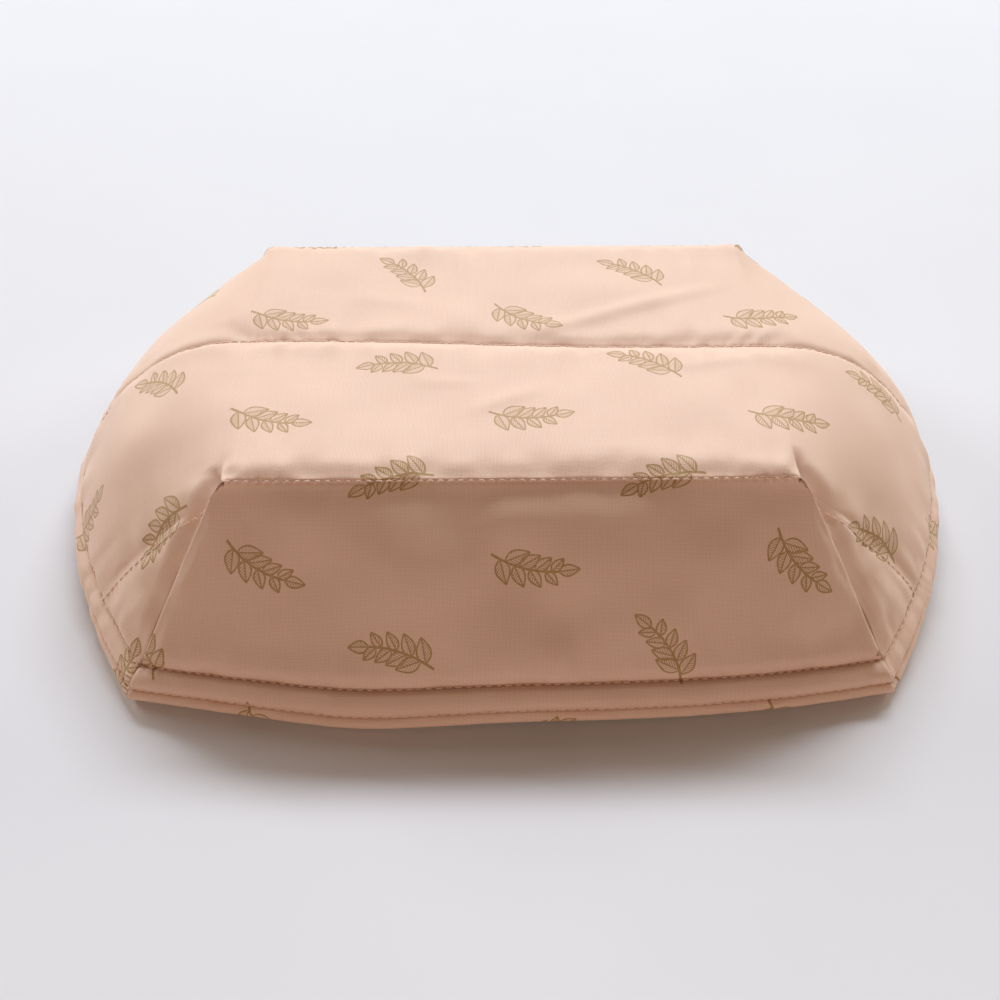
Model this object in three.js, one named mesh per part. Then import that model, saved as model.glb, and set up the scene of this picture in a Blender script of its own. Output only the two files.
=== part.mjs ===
// Quilted cozy for a takeout container, standing on its rim with its base uppermost.
// A printed shell and a plain lining, each quilted to its own wadding and darted at four
// corners, are sewn together round the rim. Millimetres, +Z up, the front faces -Y.

import * as THREE from 'three';

// Base panel, and its height above the outer rim corners
const BASE_WIDTH = 185;
const BASE_DEPTH = 136;
const BASE_RISE = 67;

// How far the rim spreads beyond the base, at the darts and at the middle of each wall
const CORNER_SPREAD_X = 36;
const CORNER_SPREAD_Y = 35;
const END_SPREAD = 48;
const FLANK_SPREAD = 73;

// How far the rim arches up off the table between its corners
const END_ARCH = 3;
const FLANK_ARCH = 4.5;

// Handle of each wall's curve, as shares of that wall's own spread and drop
const DART_HANDLE = { x: 0.42, y: 0.3, drop: 0.4 };
const END_HANDLE = { spread: 0.5, drop: 0.44 };
const FLANK_HANDLE = { spread: 0.65, drop: 0 };

// How squarely each wall keeps its full shape before it turns in to the darts
const END_FULLNESS = 2.4;
const FLANK_FULLNESS = 1.8;

// Layers, and the rim's thickness at its very edge
const FABRIC = 0.5;
const WADDING = 2.6;
const LAYER_GAP = 0.25;
const RIM_EDGE = 2.6;

// How deep the stitching draws the cloth in, and how soon it is at full loft beside a row
const QUILT_DIP = 1.2;
const DART_DIP = 0.5;
const RIM_ROW_DIP = 1;
const RIM_ROLL_DIP = 0.7;
const ROLL = 7;

// Distances from the rim's edge
const INNER_ROW = 13;
const EDGE_ROW = 4.5;
const FILL_SETBACK = 2.6;
const RIM_SEAM = 1.6;

// Thread, its gap to the cloth, and the room left where one run ends at another
const THREAD = 0.4;
const THREAD_GAP = 0.3;
const RUN_CLEARANCE = 1.5;

// Facets
const BASE_COLUMNS = 12;
const GORE_COLUMNS = 2;
const WALL_STEPS = 4;
const THREAD_SIDES = 4;
const EVENING_PASSES = 12;

const HALF_WIDTH = BASE_WIDTH / 2;
const HALF_DEPTH = BASE_DEPTH / 2;
const LOFT = 2 * FABRIC + 2 * WADDING + 3 * LAYER_GAP;
const MIDDLE = LOFT / 2;
const RIM_DIP = (LOFT - RIM_EDGE) / 2;

// Two dart threads lie one above the other in a channel between the waddings
const DART_THREAD_OFFSET = (THREAD + THREAD_GAP) / 2;
const DART_CHANNEL = DART_THREAD_OFFSET + THREAD / 2 + THREAD_GAP - LAYER_GAP / 2;

const mix = THREE.MathUtils.lerp;

// A quadratic curve between two values, shaped by its handle
function curve(v, start, handle, end) {
  return (1 - v) ** 2 * start + 2 * v * (1 - v) * handle + v ** 2 * end;
}

// Half-width and half-depth of the dart seams, at share v of the way down
const DART_HANDLE_X = DART_HANDLE.x * CORNER_SPREAD_X;
const DART_HANDLE_Y = DART_HANDLE.y * CORNER_SPREAD_Y;
const DART_HANDLE_Z = BASE_RISE * (1 - DART_HANDLE.drop);
const dartX = (v) => HALF_WIDTH + curve(v, 0, DART_HANDLE_X, CORNER_SPREAD_X);
const dartY = (v) => HALF_DEPTH + curve(v, 0, DART_HANDLE_Y, CORNER_SPREAD_Y);

// A flat end wall: across is -1 to 1 from dart to dart, side is -1 at the front and 1 at the back
function endPoint(across, side, v) {
  const full = 1 - Math.abs(across) ** END_FULLNESS;
  const handleY = mix(DART_HANDLE_Y, END_HANDLE.spread * END_SPREAD, full);
  const handleZ = mix(DART_HANDLE_Z, BASE_RISE - END_HANDLE.drop * (BASE_RISE - END_ARCH), full);
  const y = HALF_DEPTH + curve(v, 0, handleY, mix(CORNER_SPREAD_Y, END_SPREAD, full));
  const z = curve(v, BASE_RISE, handleZ, END_ARCH * full);
  return new THREE.Vector3(across * dartX(v), side * y, z);
}

// A rounded flank, on the line that keeps to depth y: side is -1 at the left and 1 at the right
function flankPoint(y, side, v) {
  const full = 1 - Math.min(1, Math.abs(y) / dartY(v)) ** FLANK_FULLNESS;
  const handleX = mix(DART_HANDLE_X, FLANK_HANDLE.spread * FLANK_SPREAD, full);
  const handleZ = mix(DART_HANDLE_Z, BASE_RISE - FLANK_HANDLE.drop * (BASE_RISE - FLANK_ARCH), full);
  const x = HALF_WIDTH + curve(v, 0, handleX, mix(CORNER_SPREAD_X, FLANK_SPREAD, full));
  const z = curve(v, BASE_RISE, handleZ, FLANK_ARCH * full);
  return new THREE.Vector3(side * x, y, z);
}

// A line down the wall, with points by distance along the cloth
class WallLine extends THREE.Curve {
  constructor(place) {
    super();
    this.place = place;
  }

  getPoint(v) {
    return this.place(v);
  }

  below(distance) {
    return this.getPointAt(THREE.MathUtils.clamp(distance / this.getLength(), 0, 1));
  }
}

// Distances down a wall line: the roll below the base, the open wall, the two rows and the edge
function rowDistances(length) {
  const distances = [0, ROLL];
  for (let step = 1; step < WALL_STEPS; step += 1) {
    distances.push(mix(ROLL, length - INNER_ROW, step / WALL_STEPS));
  }
  const fromEdge = [INNER_ROW, (INNER_ROW + EDGE_ROW) / 2, EDGE_ROW, FILL_SETBACK, 0];
  return [...distances, ...fromEdge.map((distance) => length - distance)];
}
const INNER = 1 + WALL_STEPS;
const EDGE = INNER + 2;
const FILL = EDGE + 1;
const RIM = FILL + 1;
const ROW_DIPS = { [INNER]: RIM_ROW_DIP, [EDGE]: RIM_ROW_DIP, [FILL]: RIM_ROLL_DIP, [RIM]: RIM_DIP };

// Depths of the base's rows of facets, close together beside the three quilting rows
const BESIDE_CREASE = HALF_DEPTH - ROLL;
const HALF_ROWS = [ROLL, HALF_DEPTH / 2, BESIDE_CREASE, HALF_DEPTH];
const BASE_ROWS = [...HALF_ROWS.map((y) => -y).reverse(), 0, ...HALF_ROWS];
const LAST_ROW = BASE_ROWS.length - 1;
const QUILTING = { front: 0, centre: LAST_ROW / 2, back: LAST_ROW };
const isQuilted = (row) => Object.values(QUILTING).includes(row);

// One sheet of shared points, from which every layer is lofted
const points = [];
const quads = [];

function addPoint(position, marks) {
  const direction = new THREE.Vector3();
  points.push({ position, direction, dip: 0, channel: 0, row: 0, level: false, ...marks });
  return points.length - 1;
}

function addBase() {
  const grid = BASE_ROWS.map((y, j) => Array.from({ length: BASE_COLUMNS + 1 }, (_, i) => {
    const x = mix(-HALF_WIDTH, HALF_WIDTH, i / BASE_COLUMNS);
    const level = i > 0 && i < BASE_COLUMNS && j > 0 && j < LAST_ROW;
    return addPoint(new THREE.Vector3(x, y, BASE_RISE), { dip: isQuilted(j) ? QUILT_DIP : 0, level });
  }));
  for (let j = 0; j < LAST_ROW; j += 1) {
    for (let i = 0; i < BASE_COLUMNS; i += 1) {
      quads.push([grid[j][i], grid[j][i + 1], grid[j + 1][i + 1], grid[j + 1][i]]);
    }
  }
  return grid;
}

// The lines down the wall, in order round the base and counter-clockwise from above
function endLines(grid, side) {
  const j = side < 0 ? QUILTING.front : QUILTING.back;
  const lines = grid[j].map((top, i) => {
    const across = mix(-1, 1, i / BASE_COLUMNS);
    const isDart = i === 0 || i === BASE_COLUMNS;
    const line = new WallLine((v) => endPoint(across, side, v));
    return { name: `${side < 0 ? 'front' : 'back'} ${i}`, top, dip: isDart ? DART_DIP : 0, isDart, line };
  });
  return side < 0 ? lines : lines.reverse();
}

// The gores fill the flanks' corners, between the outer quilting rows and the darts
function goreLines(grid, side, end) {
  const top = grid[end < 0 ? 0 : LAST_ROW][side < 0 ? 0 : BASE_COLUMNS];
  const lines = [];
  for (let n = 1; n < GORE_COLUMNS; n += 1) {
    const depth = (v) => end * mix(HALF_DEPTH, dartY(v), n / GORE_COLUMNS);
    lines.push({ name: 'gore', top, dip: 0, line: new WallLine((v) => flankPoint(depth(v), side, v)) });
  }
  return side * end < 0 ? lines.reverse() : lines;
}

function flankLines(grid, side) {
  const lines = BASE_ROWS.map((y, j) => ({
    name: `${side < 0 ? 'left' : 'right'} ${j}`,
    top: grid[j][side < 0 ? 0 : BASE_COLUMNS],
    dip: isQuilted(j) ? QUILT_DIP : 0,
    line: new WallLine((v) => flankPoint(y, side, v)),
  }));
  return side < 0 ? lines.reverse() : lines;
}

function wallLines(grid) {
  return [
    ...endLines(grid, -1), ...goreLines(grid, 1, -1), ...flankLines(grid, 1), ...goreLines(grid, 1, 1),
    ...endLines(grid, 1), ...goreLines(grid, -1, 1), ...flankLines(grid, -1), ...goreLines(grid, -1, -1),
  ];
}

function addWall(lines) {
  for (const column of lines) {
    const distances = rowDistances(column.line.getLength());
    const below = distances.slice(1).map((distance, n) => addPoint(column.line.below(distance), {
      dip: Math.max(column.dip, ROW_DIPS[n + 1] ?? 0),
      channel: column.isDart ? DART_CHANNEL : 0,
      row: n + 1,
    }));
    column.ids = [column.top, ...below];
  }
  lines.forEach(({ ids }, n) => {
    const next = lines[(n + 1) % lines.length].ids;
    for (let row = 0; row < RIM; row += 1) {
      quads.push([ids[row], ids[row + 1], next[row + 1], next[row]]);
    }
  });
}

const baseGrid = addBase();
const wall = wallLines(baseGrid);
addWall(wall);
const wallLine = (name) => wall.find((column) => column.name === name);

// Triangles of the sheet, cut along each quad's shorter diagonal: one with two corners in one place gives one
const apart = (a, b) => points[a].position.distanceTo(points[b].position);

function halves([a, b, c, d]) {
  return apart(a, c) < apart(b, d) ? [[a, b, c], [a, c, d]] : [[a, b, d], [b, c, d]];
}
const triangles = quads.flatMap(halves).filter((corners) => new Set(corners).size === corners.length);

// The directions in which the layers are stacked, inwards and evened out over the sheet
function setDirections() {
  for (const corners of triangles) {
    const [a, b, c] = corners.map((id) => points[id].position);
    const inward = c.clone().sub(a).cross(b.clone().sub(a)).normalize();
    corners.forEach((id) => points[id].direction.add(inward));
  }
  points.forEach((point) => point.direction.normalize());
  for (let pass = 0; pass < EVENING_PASSES; pass += 1) {
    evenOut();
  }
}

function evenOut() {
  const sums = points.map((point) => point.direction.clone().divideScalar(ROLL ** 2));
  for (const corners of triangles) {
    corners.forEach((id, n) => {
      const other = corners[(n + 1) % corners.length];
      const weight = 1 / (ROLL ** 2 + apart(id, other) ** 2);
      sums[id].addScaledVector(points[other].direction, weight);
      sums[other].addScaledVector(points[id].direction, weight);
    });
  }
  points.forEach((point, id) => {
    if (!point.level) point.direction.copy(sums[id]).normalize();
  });
}
setDirections();

const placeAt = (point, depth) => point.position.clone().addScaledVector(point.direction, depth);

// A closed solid from its corners and faces
function solid(name, corners, faces, material) {
  const geometry = new THREE.BufferGeometry().setFromPoints(corners);
  geometry.setIndex(faces.flat());
  geometry.computeVertexNormals();
  const mesh = new THREE.Mesh(geometry, material);
  mesh.name = name;
  return mesh;
}

// A layer between two depths below the outer face, ending at the given row of the wall
function layer(name, outer, inner, lastRow, material) {
  const sheet = points.map((point) => (point.row <= lastRow ? point : points[0]));
  const corners = [outer, inner].flatMap((depth) => sheet.map((point) => placeAt(point, depth(point))));
  const kept = triangles.filter((ids) => ids.every((id) => points[id].row <= lastRow));
  const back = points.length;
  const faces = kept.flatMap(([a, b, c]) => [[a, b, c], [back + a, back + c, back + b]]);
  wall.forEach(({ ids }, n) => {
    const here = ids[lastRow];
    const next = wall[(n + 1) % wall.length].ids[lastRow];
    faces.push([here, back + here, back + next], [here, back + next, next]);
  });
  return solid(name, corners, faces, material);
}

// Depths of the layers' faces: squeezed at the stitching, and closed over the wadding at the rim
const shellOuter = (point) => point.dip;
const shellInner = (point) => (point.row === RIM ? MIDDLE - LAYER_GAP / 2 : point.dip + FABRIC);
const fillOuter = (point) => point.dip + FABRIC + LAYER_GAP;
const fillInner = (point) => MIDDLE - LAYER_GAP / 2 - point.channel;
const onLiningSide = (depth) => (point) => LOFT - depth(point);

// A thread along a run of places, each with the direction in which it is stacked
function thread(name, run, material) {
  const corners = run.flatMap(({ place, direction }, n) => {
    const ahead = run[Math.min(n + 1, run.length - 1)].place;
    const behind = run[Math.max(n - 1, 0)].place;
    const along = ahead.clone().sub(behind).normalize();
    const across = along.clone().cross(direction).normalize();
    const up = across.clone().cross(along);
    return Array.from({ length: THREAD_SIDES }, (_, side) => {
      const angle = ((2 * side + 1) / THREAD_SIDES) * Math.PI;
      const corner = place.clone().addScaledVector(across, Math.cos(angle) * THREAD / 2);
      return corner.addScaledVector(up, Math.sin(angle) * THREAD / 2);
    });
  });
  return solid(name, corners, tubeFaces(run.length), material);
}

function tubeFaces(rings) {
  const faces = [];
  const at = (ring, side) => ring * THREAD_SIDES + (side % THREAD_SIDES);
  for (let ring = 0; ring + 1 < rings; ring += 1) {
    for (let side = 0; side < THREAD_SIDES; side += 1) {
      faces.push([at(ring, side), at(ring + 1, side + 1), at(ring, side + 1)]);
      faces.push([at(ring, side), at(ring + 1, side), at(ring + 1, side + 1)]);
    }
  }
  for (let side = 1; side + 1 < THREAD_SIDES; side += 1) {
    faces.push([at(0, 0), at(0, side), at(0, side + 1)]);
    faces.push([at(rings - 1, 0), at(rings - 1, side + 1), at(rings - 1, side)]);
  }
  return faces;
}

// A place for a thread, at a depth below one of the sheet's points
function seat(id, depth) {
  const point = points[id];
  return { place: placeAt(point, depth(point)), direction: point.direction };
}

// A run whose last place is drawn back along it, clear of what crosses its end
function drawnBack(run) {
  const last = run[run.length - 1];
  const before = run[run.length - 2];
  const share = RUN_CLEARANCE / last.place.distanceTo(before.place);
  return [...run.slice(0, -1), { ...last, place: last.place.clone().lerp(before.place, share) }];
}

// Topstitching and quilting lie just off the face that they are sewn through
const onShell = (point) => shellOuter(point) - THREAD_GAP - THREAD / 2;
const onLining = onLiningSide(onShell);

// A quilting row: up one flank from the rim's inner row, across the base and down the other
function quiltingRun(row, depth) {
  const [left, right] = ['left', 'right'].map((side) => wallLine(`${side} ${row}`).ids.slice(0, INNER + 1));
  const ids = [...left.reverse(), ...baseGrid[row].slice(1, -1), ...right];
  return drawnBack(drawnBack(ids.map((id) => seat(id, depth))).reverse());
}

// A row right round the rim, from the middle of the back and almost back to it
function rimRun(placeOn) {
  const start = wall.indexOf(wallLine(`back ${BASE_COLUMNS / 2}`));
  return drawnBack([...wall.slice(start), ...wall.slice(0, start + 1)].map(placeOn));
}

// The seam that joins shell and lining, inside the turned edge
function rimSeamPlace({ ids }) {
  const fill = seat(ids[FILL], () => MIDDLE);
  const rim = seat(ids[RIM], () => MIDDLE);
  return { ...fill, place: fill.place.lerp(rim.place, 1 - RIM_SEAM / FILL_SETBACK) };
}

function dartRun(name, offset) {
  return wallLine(name).ids.slice(1, EDGE + 1).map((id) => seat(id, () => MIDDLE + offset));
}

const cloth = (color, roughness) => new THREE.MeshStandardMaterial({ color, roughness, metalness: 0 });
const printedCotton = () => cloth(0xf0d2c2, 0.85);
const plainCotton = () => cloth(0xf3e6da, 0.85);
const waddingFelt = () => cloth(0xf7f3ea, 1);
const sewingThread = () => cloth(0xf6ddd0, 0.7);

const cozy = new THREE.Group();

function addLayers() {
  cozy.add(
    layer('outer_shell', shellOuter, shellInner, RIM, printedCotton()),
    layer('outer_batting', fillOuter, fillInner, FILL, waddingFelt()),
    layer('lining_batting', onLiningSide(fillInner), onLiningSide(fillOuter), FILL, waddingFelt()),
    layer('lining', onLiningSide(shellInner), onLiningSide(shellOuter), RIM, plainCotton()),
  );
}

function addQuilting() {
  for (const [name, row] of Object.entries(QUILTING)) {
    cozy.add(thread(`shell_quilting_thread_${name}`, quiltingRun(row, onShell), sewingThread()));
    cozy.add(thread(`lining_quilting_thread_${name}`, quiltingRun(row, onLining), sewingThread()));
  }
}

function addDartSeams() {
  const sides = { left: 0, right: BASE_COLUMNS };
  for (const end of ['front', 'back']) {
    for (const [side, column] of Object.entries(sides)) {
      const onSide = (offset) => dartRun(`${end} ${column}`, offset);
      cozy.add(thread(`shell_dart_thread_${end}_${side}`, onSide(-DART_THREAD_OFFSET), sewingThread()));
      cozy.add(thread(`lining_dart_thread_${end}_${side}`, onSide(DART_THREAD_OFFSET), sewingThread()));
    }
  }
}

function addRimSeams() {
  for (const [name, row] of Object.entries({ edge: EDGE, inner: INNER })) {
    const rowOn = (depth) => rimRun(({ ids }) => seat(ids[row], depth));
    cozy.add(thread(`rim_${name}_topstitch`, rowOn(onShell), sewingThread()));
    cozy.add(thread(`rim_${name}_bobbin_thread`, rowOn(onLining), sewingThread()));
  }
  cozy.add(thread('rim_seam_thread', rimRun(rimSeamPlace), sewingThread()));
}

addLayers();
addQuilting();
addDartSeams();
addRimSeams();

// The lowest point of the rim stands on the table
cozy.position.z = -new THREE.Box3().setFromObject(cozy, true).min.z;

export default cozy;
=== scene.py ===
"""Looks of a quilted takeout container cozy, lying base up on a pale table.

A printed cotton shell and a plain lining are each quilted to a layer of wadding, darted at four
corners and sewn together round the rim. Sizes are in millimetres until a mesh is made.
"""
import math

import bpy
import numpy as np
from mathutils import Matrix, Vector


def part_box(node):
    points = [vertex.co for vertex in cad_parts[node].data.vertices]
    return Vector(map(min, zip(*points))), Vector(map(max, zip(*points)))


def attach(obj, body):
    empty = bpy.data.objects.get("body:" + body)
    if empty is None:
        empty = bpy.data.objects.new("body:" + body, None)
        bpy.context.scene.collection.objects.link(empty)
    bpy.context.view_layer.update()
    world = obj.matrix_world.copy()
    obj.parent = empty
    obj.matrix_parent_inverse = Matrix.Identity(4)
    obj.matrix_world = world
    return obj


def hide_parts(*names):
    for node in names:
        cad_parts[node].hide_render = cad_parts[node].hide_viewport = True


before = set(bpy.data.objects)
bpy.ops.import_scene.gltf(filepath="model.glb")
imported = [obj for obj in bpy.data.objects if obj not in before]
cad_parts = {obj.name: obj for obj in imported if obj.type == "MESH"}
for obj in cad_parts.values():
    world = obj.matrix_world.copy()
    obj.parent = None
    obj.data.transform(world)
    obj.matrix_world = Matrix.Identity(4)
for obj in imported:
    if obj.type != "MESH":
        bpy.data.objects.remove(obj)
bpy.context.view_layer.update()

MM = 0.001

# The cut and sewn shape, as the solids have it
BASE_WIDTH, BASE_DEPTH, BASE_RISE = 185, 136, 67
CORNER_SPREAD_X, CORNER_SPREAD_Y = 36, 35
END_SPREAD, FLANK_SPREAD = 48, 73
END_ARCH, FLANK_ARCH = 3, 4.5
DART_HANDLE = {"x": 0.42, "y": 0.3, "drop": 0.4}
END_HANDLE = {"spread": 0.5, "drop": 0.44}
FLANK_HANDLE = {"spread": 0.65, "drop": 0}
END_FULLNESS, FLANK_FULLNESS = 2.4, 1.8
FABRIC, WADDING, LAYER_GAP = 0.5, 2.6, 0.25
INNER_ROW, EDGE_ROW, ROLL_START = 13, 4.5, 2.6
THREAD, THREAD_GAP, RIM_SEAM = 0.4, 0.3, 1.6

HALF_WIDTH = BASE_WIDTH / 2
HALF_DEPTH = BASE_DEPTH / 2
LOFT = 2 * FABRIC + 2 * WADDING + 3 * LAYER_GAP
MIDDLE = LOFT / 2
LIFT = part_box("outer_shell")[1].z / MM - BASE_RISE

# The mesh: columns across an end, along a flank and in each gore, and rows in each zone of the wall
END_COLUMNS, FLANK_COLUMNS, GORE_COLUMNS = 204, 120, 30
CREASE_STEPS, WALL_STEPS, INNER_STEPS, BAND_STEPS, LIP_STEPS, ROLL_STEPS = 6, 30, 6, 6, 6, 6
CREASE_ZONE, INNER_ZONE = 7, 19
INNER = CREASE_STEPS + WALL_STEPS + INNER_STEPS
EDGE = INNER + BAND_STEPS
LIP = EDGE + LIP_STEPS
RIM = LIP + ROLL_STEPS
END_CROWDING, FLANK_CROWDING, GORE_CROWDING, BAND_CROWDING, INNER_CROWDING = 0.6, 0.5, 0.6, 0.8, 1.8
FACE_STEP, BACK_STEP, FILL_STEP = 1, 2, 3

# Where the columns of each wall start, counter-clockwise from the front left dart
GORE_FRONT_RIGHT = END_COLUMNS
FLANK_RIGHT = GORE_FRONT_RIGHT + GORE_COLUMNS
GORE_BACK_RIGHT = FLANK_RIGHT + FLANK_COLUMNS
END_BACK = GORE_BACK_RIGHT + GORE_COLUMNS
GORE_BACK_LEFT = END_BACK + END_COLUMNS
FLANK_LEFT = GORE_BACK_LEFT + GORE_COLUMNS
GORE_FRONT_LEFT = FLANK_LEFT + FLANK_COLUMNS
DARTS = {
    "front_left": 0,
    "front_right": GORE_FRONT_RIGHT,
    "back_right": END_BACK,
    "back_left": GORE_BACK_LEFT,
}

# How deep the stitching draws the cloth in, and how far from it the padding is full again
BASE_EDGE_DEEP, FLANK_ROW_DEEP, CENTRE_ROW_DEEP = 2.0, 0.3, 0.6
BASE_REACH, END_REACH, FLANK_REACH = 8.0, 28.0, 5.0
SEAT_DEEP, SEAT_DEEP_FLANK, SEAT_REACH = 0.45, 0.2, 2.0
INNER_DEEP_END, INNER_DEEP_DART, INNER_DEEP_FLANK, EDGE_DEEP = 1.5, 1.2, 0.6, 1.0
INNER_REACH_ABOVE, INNER_REACH_BELOW, EDGE_REACH_ABOVE, EDGE_REACH_BELOW = 2.4, 1.7, 1.8, 1.9
INNER_SLOPE_END, INNER_STEP_END, INNER_EASE_END, INNER_EASE_FLANK = 5.0, 1.4, 25, 15
STITCH_PITCH, STITCH_LENGTH = 3.2, 2.45
HOLE_DEPTH, HOLE_REACH = 0.2, 1.0
SEAM_GAP, TABLE_CLEAR, THINNEST_FILL = 0.1, 0.05, 0.1

FAR, FINE_STEPS = 1000, 161
BASE, END, FLANK = range(3)


def mix(a, b, share):
    return a + (b - a) * share


def smoothstep(low, high, x):
    t = np.clip((x - low) / (high - low), 0, 1)
    return t * t * (3 - 2 * t)


# Wall shape


def curve(v, start, handle, end):
    """A quadratic curve between two values, shaped by its handle."""
    return (1 - v) ** 2 * start + 2 * v * (1 - v) * handle + v**2 * end


DART_HANDLE_X = DART_HANDLE["x"] * CORNER_SPREAD_X
DART_HANDLE_Y = DART_HANDLE["y"] * CORNER_SPREAD_Y
DART_HANDLE_Z = BASE_RISE * (1 - DART_HANDLE["drop"])


def dart_x(v):
    return HALF_WIDTH + curve(v, 0, DART_HANDLE_X, CORNER_SPREAD_X)


def dart_y(v):
    return HALF_DEPTH + curve(v, 0, DART_HANDLE_Y, CORNER_SPREAD_Y)


def end_points(across, side, v):
    """A line down an end wall: across is -1 to 1 from dart to dart, side is -1 at the front."""
    full = 1 - abs(across) ** END_FULLNESS
    handle_y = mix(DART_HANDLE_Y, END_HANDLE["spread"] * END_SPREAD, full)
    handle_z = mix(DART_HANDLE_Z, BASE_RISE - END_HANDLE["drop"] * (BASE_RISE - END_ARCH), full)
    y = HALF_DEPTH + curve(v, 0, handle_y, mix(CORNER_SPREAD_Y, END_SPREAD, full))
    z = curve(v, BASE_RISE, handle_z, END_ARCH * full)
    return np.stack([across * dart_x(v), side * y, z], axis=-1)


def flank_points(y, side, v):
    """A line down a rounded flank at depth y, which may change with v: side is -1 at the left."""
    y = np.broadcast_to(y, np.shape(v))
    full = 1 - np.minimum(1, np.abs(y) / dart_y(v)) ** FLANK_FULLNESS
    handle_x = mix(DART_HANDLE_X, FLANK_HANDLE["spread"] * FLANK_SPREAD, full)
    handle_z = mix(DART_HANDLE_Z, BASE_RISE - FLANK_HANDLE["drop"] * (BASE_RISE - FLANK_ARCH), full)
    x = HALF_WIDTH + curve(v, 0, handle_x, mix(CORNER_SPREAD_X, FLANK_SPREAD, full))
    z = curve(v, BASE_RISE, handle_z, FLANK_ARCH * full)
    return np.stack([side * x, y, z], axis=-1)


def crowded(count, crowding):
    """Shares from 0 to 1 that lie closer together at both ends."""
    t = np.linspace(0, 1, count + 1)
    return t - crowding * np.sin(2 * np.pi * t) / (2 * np.pi)


def row_distances(length):
    """Distances down a wall line: crease, open wall, inner row, band, lip and the rolled edge."""
    roll = ROLL_START * (1 - np.sin(np.linspace(0, np.pi / 2, ROLL_STEPS + 1)))
    closing_in = 1 - (1 - np.linspace(0, 1, INNER_STEPS + 1)) ** INNER_CROWDING
    zones = [
        np.linspace(0, CREASE_ZONE, CREASE_STEPS + 1),
        np.linspace(CREASE_ZONE, length - INNER_ZONE, WALL_STEPS + 1)[1:],
        length - mix(INNER_ZONE, INNER_ROW, closing_in)[1:],
        length - mix(INNER_ROW, EDGE_ROW, crowded(BAND_STEPS, BAND_CROWDING))[1:],
        length - np.linspace(EDGE_ROW, ROLL_START, LIP_STEPS + 1)[1:],
        length - roll[1:],
    ]
    return np.concatenate(zones)


# The centre row wanders towards the back at the left, as it was sewn
CENTRE_DRIFT, DRIFT_FROM, DRIFT_TO = 4.5, 45, -75


def centre_row(x):
    return CENTRE_DRIFT * (1 - smoothstep(DRIFT_TO, DRIFT_FROM, x))


def base_depths(x):
    """Depths y of the base's mesh rows at x, crowded beside the three quilting rows."""
    half = crowded(FLANK_COLUMNS // 2, FLANK_CROWDING)
    front = mix(-HALF_DEPTH, centre_row(x), half)
    back = mix(centre_row(x), HALF_DEPTH, half)
    return np.concatenate([front, back[1:]])


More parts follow.
